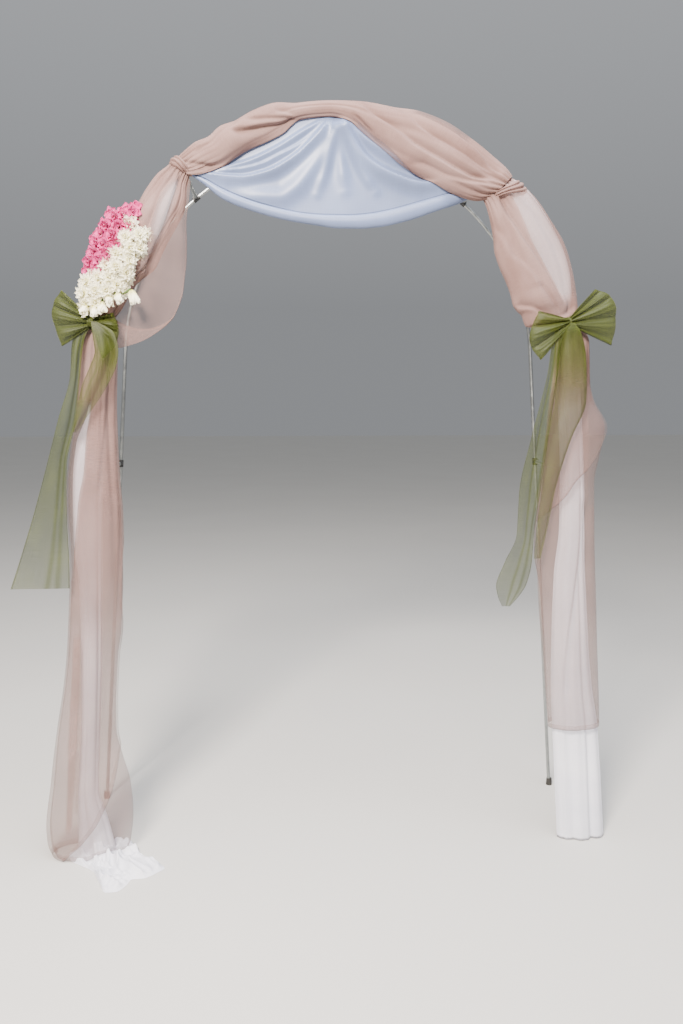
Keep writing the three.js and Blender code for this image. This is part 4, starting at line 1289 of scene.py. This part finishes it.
left_knot = band(
    at_angle(LEFT, 50), (32, 18, 27, 26), half_width=14 * MM, bulge=9 * MM, folds=2.4, fold_size=6 * MM,
    tilt=-5 * MM, pinch=0.2,
)
right_knot = band(
    at_angle(RIGHT, 43.8), (42, 34, 33, 30), half_width=15 * MM, bulge=9 * MM, folds=2.6, fold_size=6 * MM,
    tilt=18 * MM, pinch=0.45,
)
for name, sheet in {"left_knot_band": left_knot, "right_knot_band": right_knot}.items():
    piece = dress(name, [sheet], rose_voile, [name[:-5]])

# %% [markdown]
# ## The sheer loop
#
# At the left shoulder one layer of the voile slipped out of the bundle and hangs as a loop
# between the knot and the bow. It is a single layer, so it is the most transparent part. It
# bellies forward a little and its free edge is hemmed.
#
# The lowest part of the loop is turned up behind itself. Where it ends runs in a shallow bow,
# and below that line two layers hide more. The line itself is a hem and hides most.

# %% Loop inside the left shoulder
LOOP_ROWS = 130
LOOP_COLUMNS = 60
LOOP_BELLY = 18 * MM
LOOP_RIPPLE = 6 * MM
LOOP_FORWARD = 4 * MM
TURN_UP_MIDDLE = -580
TURN_UP_HEIGHT = 1645
TURN_UP_BOW = 0.0042

outer_places, outer_offsets = zip(*sorted([
    *arc(LEFT, (49.5, -40), (46, -74), (41.5, -108), (36, -152), (29, -188), (19.6, -209), (14, -203),
         (10.5, -186), (6.8, -152)),
    *leg(LEFT, (1622, -118), (1596, -56)),
]))
inner_places = [outer_places[0], at_angle(LEFT, 9), at_angle(LEFT, 26), outer_places[-1]]
inner_offsets = [-30, -30, -70, -20]
rows = np.linspace(outer_places[0], outer_places[-1], LOOP_ROWS)
outer = through(outer_places, np.array(outer_offsets) * MM, rows)[:, None]
inner = np.minimum(through(inner_places, np.array(inner_offsets) * MM, rows), 0)[:, None]
share = np.linspace(0, 1, LOOP_COLUMNS)[None, :]
aside = inner + (outer - inner) * share
belly = np.sin(math.pi * np.linspace(0, 1, LOOP_ROWS))[:, None]
ahead = LOOP_FORWARD + LOOP_BELLY * belly * np.sin(math.pi * share)
ahead = ahead + LOOP_RIPPLE * np.cos(9 * share + 12 * rows[:, None]) * belly * share
place, outward = hoop_frame(rows)
loop_grid = place[:, None] + outward[:, None] * aside[..., None]
loop_grid[..., 1] -= ahead
from_middle = (loop_grid[..., 0] - CENTRE_X) / MM - TURN_UP_MIDDLE
above = loop_grid[..., 2] / MM - (TURN_UP_HEIGHT + TURN_UP_BOW * from_middle**2)
loop_layers = 1 + 0.9 * (1 - smooth(above, -2, 2)) + 1.5 * np.exp(-((above / 3) ** 2))
loop_flat = laid(share * 0.2, rows[:, None], loop_layers)
loop_sheet = turned_hem((loop_grid, loop_flat), "last column", 2)
loop = dress("shoulder_loop", [loop_sheet], rose_voile, ["left_shoulder_loop"])

# %% [markdown]
# ## Organza bows
#
# Each bow is one wide ribbon tied round the pinched voile. A loop is the ribbon going out from
# the knot and back, so it is made as one flat ring of cloth: it leaves the knot in tight
# pleats, opens like a fan, turns over at the far end and returns behind itself.

# %% Bow loops
LOOP_AROUND = 80
LOOP_ACROSS = 90
PINCH_WIDTH = 16 * MM
PLEAT_DEPTH = 9


def on_plane(points):
    """Points given as millimetres right of the middle and above the ground."""
    return np.array([[x * MM + CENTRE_X, z * MM] for x, z in points])


def bow_loop(knot, edge, forward, puff, pleats, seed):
    """A loop from the knot to its far edge, which is given from its top corner to its lower
    one. forward is its place in front of the hoop, puff how thick it is and both are in mm."""
    draw = np.random.default_rng(seed)
    corner = on_plane(edge)
    share = np.linspace(0, 1, LOOP_ACROSS)
    knots = np.linspace(0, 1, len(corner))
    far = np.stack([through(knots, corner[:, k], share) for k in (0, 1)], -1)[None]
    start = on_plane([knot])[0]
    span = far - start
    spread = unit(np.array(corner[0] - corner[-1]))
    near = start + spread * ((0.5 - share) * PINCH_WIDTH)[None, :, None]
    around = np.linspace(0.06, 1.94, LOOP_AROUND)[:, None] * math.pi
    out = (1 - np.cos(around)) / 2
    opened = out[..., None] ** 1.12
    flat = near * (1 - opened) + far * opened
    bend = puff * np.sin(around) * out**0.6 * (0.6 + 0.4 * np.sin(math.pi * share))
    phase = draw.uniform(0, 6) + 2 * math.pi * pleats * share + draw.uniform(0.8, 1.6) * np.sin(5 * share)
    crisp = 1 - 2 * np.abs(np.sin(phase / 2)) ** 0.8 + 0.12 * np.cos(3.7 * phase + 5 * out)
    ripple = PLEAT_DEPTH * crisp * (1 - 0.45 * out) * (0.35 + out)
    y = FRONT_Y - (forward + bend - ripple * np.minimum(1, 4 * (1 - out) + 0.35)) * MM
    grid = np.stack([flat[..., 0], y, flat[..., 1]], -1)
    length = float(np.linalg.norm(span, axis=-1).mean())
    cloth = laid(share * 0.16, around / math.pi * length, 1.4 + 2.5 * (1 - out) ** 2)
    return turned_hem(turned_hem((grid, cloth), "first column", 3), "last column", 3)


left_knot_place = (-714, 1662)
right_knot_place = (690, 1670)
left_loops = [
    bow_loop(left_knot_place, [(-800, 1752), (-822, 1722), (-831, 1684), (-820, 1636), (-806, 1594)],
             forward=50, puff=20, pleats=4, seed=61),
    bow_loop(left_knot_place, [(-655, 1690), (-641, 1640), (-650, 1600), (-690, 1556)],
             forward=56, puff=14, pleats=3, seed=62),
]
right_loops = [
    bow_loop(right_knot_place, [(769, 1768), (812, 1752), (836, 1708), (836, 1660), (826, 1602)],
             forward=52, puff=22, pleats=4, seed=63),
    bow_loop(right_knot_place, [(596, 1702), (578, 1664), (568, 1622), (580, 1588), (605, 1558)],
             forward=68, puff=18, pleats=3, seed=64),
]
print(len(left_loops) + len(right_loops), "loops, each pinched to", round(PINCH_WIDTH / MM), "mm at its knot")

# %% [markdown]
# The knot in the middle is the same ribbon pinched into a ball. A band of it goes round the
# voile, like the bands of the two knots above but wider.

# %% Bows
WRAP_HALF_WIDTH = 14 * MM
WRAP_HALF_HEIGHT = 17 * MM
WRAP_FORWARD = 52 * MM
WRAP_TURNS = 1.1
WRAP_ROWS = 40
WRAP_COLUMNS = 24


def knot_wrap(knot):
    """The pinched ball of ribbon in the middle of a bow."""
    start = on_plane([knot])[0]
    turn = np.linspace(0, 2 * math.pi * WRAP_TURNS, WRAP_ROWS)[:, None]
    across = np.linspace(-1, 1, WRAP_COLUMNS)[None, :]
    swell = 0.55 + 0.45 * np.sqrt(1 - across**2)
    swell = swell - 0.08 * (1 + np.cos(5 * np.pi * across + turn))
    ring = WRAP_HALF_HEIGHT * swell
    x = start[0] + across * WRAP_HALF_WIDTH + 3 * MM * np.sin(turn)
    z = start[1] + ring * np.cos(turn)
    y = FRONT_Y - WRAP_FORWARD + ring * 0.8 * np.sin(turn)
    grid = np.stack(np.broadcast_arrays(x, y, z), -1)
    return grid, laid(across * 0.04, turn * WRAP_HALF_HEIGHT, 3)


bows = (
    ("left", at_angle(LEFT, 7.5), left_knot_place, left_loops),
    ("right", at_angle(RIGHT, 8.4), right_knot_place, right_loops),
)
for side, middle, knot, loops in bows:
    ribbon = band(
        middle, (36, 38, 36, 34), half_width=20 * MM, bulge=5 * MM, folds=4, fold_size=4 * MM, seam=92
    )
    sheets = [ribbon, *loops, knot_wrap(knot)]
    piece = dress(side + "_organza_bow", sheets, olive_organza, [side + "_bow"])

# %% [markdown]
# ## Organza tails
#
# The ends of the ribbons fall from the knots in front of the legs. Each is a strip whose two
# edges are given down its length, with a few soft lengthwise waves and a narrow sewn edge. A
# ribbon is wider than its tail looks, so parts of it lie double, near the knot and along the
# folds, and hide more there.

# %% Shape of a tail
TAIL_COLUMNS = 70
TAIL_STEP = 8
FOLD_SHARE = 0.05


def tail(stations, waves, depth, seed, folds):
    """Stations: left edge, right edge, height and distance in front of the hoop, in mm. waves
    is how many lie across, depth their height in mm and folds where across it lies double."""
    draw = np.random.default_rng(seed)
    table = np.array(sorted(stations, key=lambda row: row[2]))
    low = table[0, 2]
    high = table[-1, 2]
    heights = np.linspace(low, high, int((high - low) / TAIL_STEP))
    left, right, ahead = (through(table[:, 2], table[:, k], heights)[:, None] for k in (0, 1, 3))
    share = np.linspace(0, 1, TAIL_COLUMNS)[None, :]
    down = (high - heights)[:, None]
    phase = 2 * math.pi * waves * share + draw.uniform(0, 6)
    phase = phase + 1.1 * np.sin(down / 170 + draw.uniform(0, 6))
    swell = smooth(down, 0, 120) * (0.6 + 0.4 * np.sin(down / 230 + 1))
    wave = depth * np.cos(phase + 0.7 * np.sin(phase)) * swell
    x = left + (right - left) * share + CENTRE_X / MM
    y = FRONT_Y / MM - ahead + wave
    z = np.broadcast_to(heights[:, None], x.shape)
    layers = 1 + 1.5 * (1 - smooth(down, 0, 200))
    for at in folds:
        from_fold = share - at - FOLD_SHARE * np.sin(down / 150 + 7 * at)
        layers = layers + np.exp(-((from_fold / FOLD_SHARE) ** 2))
    return np.stack([x, y, z], -1) * MM, laid(share * 0.15, down * MM, layers)


print("a tail has", TAIL_COLUMNS, "points across and a row every", TAIL_STEP, "mm")

# %% [markdown]
# After the stations come the number of waves, their depth, the seed, the places of the folds
# and the length of the flat ribbon in metres.

# %% Bow tails
tails = {
    "left_bow_front_tail": ([
        (-718, -702, 1664, 66), (-714, -652, 1632, 72), (-708, -640, 1580, 74), (-724, -648, 1537, 72),
        (-750, -676, 1480, 70), (-770, -730, 1400, 70), (-783, -770, 1345, 68),
    ], 1.3, 6, 71, (0.3,), 0.35),
    "left_bow_side_tail": ([
        (-726, -712, 1660, 48), (-772, -738, 1625, 50), (-789, -757, 1500, 52), (-824, -770, 1387, 58),
        (-861, -802, 1252, 64), (-906, -808, 1098, 68), (-945, -806, 980, 72), (-981, -808, 880, 72),
    ], 1.5, 6, 72, (0.62, 0.84), 0.85),
    "right_bow_inner_tail": ([
        (682, 694, 1668, 66), (645, 672, 1640, 74), (622, 656, 1510, 76), (578, 632, 1312, 72),
        (550, 616, 1165, 70), (546, 600, 1029, 68), (510, 596, 940, 68), (486, 580, 868, 68),
        (492, 560, 836, 68), (506, 532, 803, 68),
    ], 1.3, 6, 73, (0.5, 0.85), 0.85),
    "right_bow_front_tail": ([
        (690, 704, 1668, 68), (670, 722, 1640, 78), (650, 742, 1560, 80), (648, 747, 1440, 78),
        (628, 704, 1318, 76), (618, 660, 1155, 72), (608, 642, 1050, 72), (602, 622, 953, 72),
    ], 1.2, 5, 74, (0.9,), 0.75),
}
for name, (stations, waves, depth, seed, folds, length) in tails.items():
    strip = tail(stations, waves, depth, seed, folds)
    strip = turned_hem(turned_hem(strip, "first column", 2), "last column", 2)
    piece = dress(name.replace("tail", "ribbon"), [strip], olive_organza, [name])

# %% [markdown]
# ## Silk flowers
#
# The spray is made of two kinds of artificial flower. The cream ones have many narrow pointed
# petals in rings, and the lowest hang down like bells. The pink ones are smaller, with broad
# petals round a dark throat.
#
# The petals are cut from dyed silk and pressed, so they are soft, without thread to be seen,
# with veins pressed in along them. Their attribute runs from -1 to 1 across the petal and from
# 0 to 1 along it, so the dye can be deeper in the throat.

# %% Silk
# Makes about nineteen veins across a petal
VEIN_SCALE = 3.0
VEIN_DEPTH = 0.3 * MM


def silk(name, base, tip, roughness=0.65, glow=0.3):
    """Dyed silk petal: darker in the throat, pale at the tip, with fine veins along it."""
    material = new_material(name)
    cloth = add_node(material, "ShaderNodeAttribute", {"attribute_name": "cloth"})
    split = add_node(material, "ShaderNodeSeparateXYZ", links={0: cloth.outputs["Vector"]})
    fade = add_node(
        material, "ShaderNodeMapRange", {"From Min": 0.05, "From Max": 0.6}, {"Value": split.outputs["Y"]}
    )
    tone = add_node(
        material, "ShaderNodeMix", {"data_type": "RGBA", 6: linear(base), 7: linear(tip)},
        {0: fade.outputs["Result"]},
    )
    vein = add_node(
        material, "ShaderNodeTexWave",
        {"bands_direction": "X", "Scale": VEIN_SCALE, "Distortion": 1.5, "Detail": 1.0},
        {"Vector": cloth.outputs["Vector"]},
    )
    relief = add_node(
        material, "ShaderNodeBump", {"Strength": 0.5, "Distance": VEIN_DEPTH},
        {"Height": vein.outputs["Fac"]},
    )
    body = add_node(
        material, "ShaderNodeBsdfPrincipled",
        {
            "Roughness": roughness, "IOR": 1.5, "Specular IOR Level": 0.3,
            "Sheen Weight": 0.2, "Sheen Roughness": 0.4,
        },
        {"Base Color": tone.outputs[2], "Normal": relief.outputs["Normal"]},
    )
    soak = add_node(
        material, "ShaderNodeBsdfTranslucent",
        links={"Color": tone.outputs[2], "Normal": relief.outputs["Normal"]},
    )
    lit = add_node(material, "ShaderNodeMixShader", {0: glow}, {1: body.outputs[0], 2: soak.outputs[0]})
    return show(material, lit)


cream_silk = silk("cream silk petal", "#e6e394", "#fffcea", glow=0.45)
pink_silk = silk("pink silk petal", "#84104a", "#d44a8c")
stem_green = silk("green wrapped wire", "#55683a", "#7d9152", 0.7)
print("flower finishes:", ", ".join(m.name for m in (cream_silk, pink_silk, stem_green)))

# %% [markdown]
# Each petal is a small cupped grid, and a flower is the same petal repeated in rings that open
# less and less towards the middle. No two petals are quite alike.

# %% Petals and flowers


def petal(length, width, cup, curl, rows=7, columns=5, fullness=0.8):
    """One petal along +X, facing +Z. Its flat place is kept from -1 to 1 and 0 to 1."""
    along = np.linspace(0.03, 1, rows)[:, None]
    across = np.linspace(-1, 1, columns)[None, :]
    half = width / 2 * np.sin(math.pi * along**fullness * 0.97) ** 0.85 + width * 0.08 * (1 - along)
    x = length * along * np.ones_like(across)
    y = half * across
    z = cup * width * across**2 * along - curl * length * along**2
    return np.stack([x, y, z], -1), laid(across, along)


def turned(points, axis, degrees):
    """Points turned about one of the three axes."""
    cosine = math.cos(math.radians(degrees))
    sine = math.sin(math.radians(degrees))
    one, other = (k for k in range(3) if k != axis)
    matrix = np.eye(3)
    matrix[one, one] = cosine
    matrix[other, other] = cosine
    matrix[one, other] = -sine
    matrix[other, one] = sine
    return points @ matrix.T


def flower(rings, place, facing, draw, size):
    """Rings of petals that face one way. Each ring: count, length, width, tilt, cup and curl."""
    sheets = []
    aim = np.array(Vector(facing).to_track_quat("Z", "Y").to_matrix())
    for count, length, width, tilt, cup, curl in rings:
        offset = draw.uniform(0, 360)
        for k in range(count):
            grow = size * draw.uniform(0.88, 1.1)
            cupped = cup * draw.uniform(0.7, 1.3)
            curled = curl + draw.uniform(-0.12, 0.12)
            points, flat = petal(length * grow, width * grow, cupped, curled)
            points = turned(points, 0, draw.uniform(-14, 14))
            points = turned(points, 1, tilt + draw.uniform(-9, 9))
            points = turned(points, 2, offset + 360 * k / count + draw.uniform(-7, 7))
            sheets.append((points @ aim.T + np.array(place), flat))
    return sheets


cream_rings = [
    (10, 30 * MM, 15 * MM, 8, 0.22, 0.25), (9, 27 * MM, 14 * MM, 27, 0.28, 0.12),
    (8, 21 * MM, 12 * MM, 48, 0.33, 0.0), (6, 14 * MM, 8 * MM, 72, 0.3, -0.1),
]
bell_rings = [(6, 38 * MM, 20 * MM, 60, 0.5, -0.1), (5, 33 * MM, 17 * MM, 72, 0.5, -0.08)]
pink_rings = [
    (6, 26 * MM, 22 * MM, 12, 0.22, 0.2), (5, 21 * MM, 18 * MM, 34, 0.3, 0.08),
    (4, 12 * MM, 11 * MM, 64, 0.4, 0.0),
]
for kind, rings in (("cream", cream_rings), ("bell", bell_rings), ("pink", pink_rings)):
    print(kind, "flower:", sum(ring[0] for ring in rings), "petals")

# %% [markdown]
# The heads stand along a spine that runs down the shoulder, and each faces forward and away
# from it. Their places are in millimetres right of the middle, above the ground and in front
# of the hoop. A second head behind each fills the gaps. A short wired stem leads from the back
# of each head to the spine.

# %% Places of the flower heads
cream_heads = [
    (-600, 1940, 58), (-574, 1908, 62), (-612, 1900, 66), (-600, 1868, 70), (-572, 1872, 56),
    (-640, 1856, 66), (-602, 1834, 70), (-640, 1818, 74), (-668, 1824, 60), (-612, 1800, 66),
    (-660, 1786, 70), (-694, 1788, 60), (-730, 1778, 50), (-640, 1766, 70), (-702, 1752, 66),
    (-738, 1744, 52), (-670, 1750, 72), (-704, 1718, 60), (-736, 1712, 46),
]
bells = [(-640, 1744, 68), (-662, 1736, 68), (-684, 1720, 66), (-706, 1710, 62), (-730, 1712, 54)]
lone_bell = [(-600, 1752, 74)]
pink_heads = [
    (-590, 1974, 48), (-618, 1964, 52), (-646, 1962, 42), (-672, 1936, 38), (-630, 1932, 56),
    (-684, 1914, 40), (-650, 1908, 58), (-700, 1893, 34), (-640, 1884, 60), (-676, 1882, 56),
    (-708, 1862, 40), (-664, 1856, 62), (-722, 1836, 34), (-692, 1838, 54), (-662, 1836, 56),
    (-724, 1810, 36), (-694, 1808, 52), (-606, 1938, 58),
]
spine_top = np.array([-600, 1960])
spine_low = np.array([-700, 1730])


def head_place(x, z, ahead):
    return (CENTRE_X + x * MM, FRONT_Y - ahead * MM, z * MM)


def on_spine(z, further=0.0):
    """The point of the spine at a height, or a share of its length further down."""
    share = (spine_top[1] - z) / (spine_top[1] - spine_low[1]) + further
    return spine_top + (spine_low - spine_top) * np.clip(share, 0, 1)


print(len(cream_heads), "cream and", len(pink_heads), "pink heads,", len(bells + lone_bell), "bells")

# %% [markdown]
# The bells droop, so they face down. They hang free, with no second head behind them.

# %% The spray
FILL_BEHIND = 15
FILL_ASIDE = 17
FILL_UP = 15
HALF_SPREAD = 60
TURN_ASIDE = 0.6
TURN_UP = 0.5
TURN_CHANCE = 0.2


def spray(heads, rings, seed, size, droop=0.0, filled=True):
    """Flowers at the heads, and at places behind them when the spray is filled."""
    draw = np.random.default_rng(seed)
    sheets = []
    behind = [
        (x + draw.uniform(-FILL_ASIDE, FILL_ASIDE), z + draw.uniform(-FILL_UP, FILL_UP), ahead - FILL_BEHIND)
        for x, z, ahead in heads
    ]
    for x, z, ahead in heads + (behind if filled else []):
        spine = on_spine(z)
        right = (x - spine[0]) / HALF_SPREAD * TURN_ASIDE + draw.uniform(-TURN_CHANCE, TURN_CHANCE)
        up = (z - spine[1]) / HALF_SPREAD * TURN_UP + draw.uniform(-TURN_CHANCE, TURN_CHANCE) - droop
        sheets += flower(rings, head_place(x, z, ahead), (right, -1.0, up), draw, size)
    return sheets


cream_sheets = [
    *spray(cream_heads, cream_rings, 81, 0.92),
    *spray(bells, bell_rings, 82, 0.95, droop=1.6, filled=False),
    *spray(lone_bell, bell_rings, 86, 1.1, droop=3.0, filled=False),
]
pink_sheets = spray(pink_heads, pink_rings, 84, 0.95)
print(len(cream_sheets), "cream petals and", len(pink_sheets), "pink ones")

# %% [markdown]
# The wires are thin tubes that sag a little on the way to the spine and flare behind the head,
# where the green wrapping ends in a small cup.

# %% Stems and the finished flowers
STEM_RADIUS = 1.4 * MM
STEM_FLARE = 5 * MM
STEM_SAG = 6 * MM
STEM_ASIDE = 8
STEM_AHEAD = 38
FURTHER_DOWN = 0.12


def stems(heads):
    """A short wrapped wire from the back of each head to the middle of the spray."""
    sheets = []
    turn = np.linspace(0, 2 * math.pi, 7)[None, :]
    along = np.linspace(0, 1, 6)[:, None]
    for x, z, ahead in heads:
        spine = on_spine(z, FURTHER_DOWN)
        first = np.array(head_place(x, z, ahead))
        last = np.array(head_place(spine[0] - STEM_ASIDE, spine[1], STEM_AHEAD))
        line = first + (last - first) * along - np.array([0, 0, STEM_SAG]) * np.sin(math.pi * along)
        heading = unit(last - first)
        side = unit(np.cross(heading, [0, 0, 1.0]))
        up = np.cross(side, heading)
        radius = STEM_RADIUS + STEM_FLARE * (1 - along) ** 6
        ring = side * np.cos(turn)[..., None] + up * np.sin(turn)[..., None]
        sheets.append((line[:, None] + ring * radius[..., None], laid(turn, along)))
    return sheets


blooms = (
    ("cream", cream_sheets, stems(cream_heads + bells + lone_bell), cream_silk),
    ("pink", pink_sheets, stems(pink_heads), pink_silk),
)
for colour, sheets, wires, finish in blooms:
    dress(
        colour + "_blooms", sheets + wires, finish, [colour + "_flowers"], [stem_green],
        [0] * len(sheets) + [1] * len(wires),
    )

# %% [markdown]
# ## The end of the lining
#
# The left sleeve is longer than the leg, and its end lies crumpled on the ground in front of
# the foot. It is made as a fan of cloth from the foot outwards, with crumples that are high
# near the foot and flatten towards the ragged edge. The crumples are sharp waves of a few
# lengths that cross each other, and a slow bend keeps them from being straight. Everything is
# in millimetres: right of the middle, behind the front hoop and up from the ground.

# %% Train on the ground
TRAIN_COLUMNS = 150
TRAIN_ROWS = 70
SLEEVE_MIDDLE = (-775, -8)
SLEEVE_RADIUS = 24
CRUMPLE_LENGTHS = (88, 61, 44, 30)
CRUMPLE_HEIGHT = 38
SLEEVE_RISE = 26

train_edge = np.array([
    (-862, -10), (-846, -50), (-806, -84), (-764, -118), (-734, -176), (-700, -238), (-672, -236),
    (-648, -206), (-636, -172), (-600, -168), (-566, -140), (-546, -116), (-566, -86), (-612, -52),
    (-642, -8), (-664, 30), (-720, 48), (-790, 42),
], float)
draw = np.random.default_rng(91)
share = np.linspace(0, 1, TRAIN_COLUMNS)
knots = np.linspace(0, 1, len(train_edge))
far = np.stack([through(knots, train_edge[:, k], share) for k in (0, 1)], -1)
bearing = 3.6 + 3.6 * share
near = np.array(SLEEVE_MIDDLE) + SLEEVE_RADIUS * np.stack([np.cos(bearing), np.sin(bearing)], -1)
out = np.linspace(0, 1, TRAIN_ROWS)[:, None]
flat = near + (far - near) * out[..., None]
right = flat[..., 0]
behind = flat[..., 1]
bend = 22 * np.sin(right / 37 + 1) + 18 * np.sin(behind / 29 + right / 71)
crumple = np.zeros(right.shape)
for length in CRUMPLE_LENGTHS:
    heading = draw.uniform(0, math.pi)
    start = draw.uniform(0, 6)
    across = (right + bend) * math.cos(heading) + (behind - bend) * math.sin(heading)
    crumple += length * (1 - np.abs(np.sin(math.pi * across / length + start))) ** 1.5 / 150
lift = (3 + CRUMPLE_HEIGHT * crumple) * smooth(1 - out, 0, 0.1) * (1 - 0.4 * out) + FLOOR_GAP / MM
lift = lift + SLEEVE_RISE * np.exp(-((out / 0.12) ** 2))
train_grid = np.stack([CENTRE_X + right * MM, FRONT_Y + behind * MM, lift * MM], -1)
train_flat = laid(share[None, :] * 0.7, out * 0.25)
train = dress("lining_train", [(train_grid, train_flat)], white_lining, ["left_lining_train"])

# %% [markdown]
# ## Sizes
#
# The soft pieces may stand only a little proud of the frame's box. Both boxes are printed side
# by side.

# %% Print the sizes
visual_box = [list(corner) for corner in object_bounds()]
for label, cad, seen in zip(("low", "high"), cad_box, visual_box):
    print(label, "frame", [round(v, 3) for v in cad], "dressed", [round(v, 3) for v in seen])
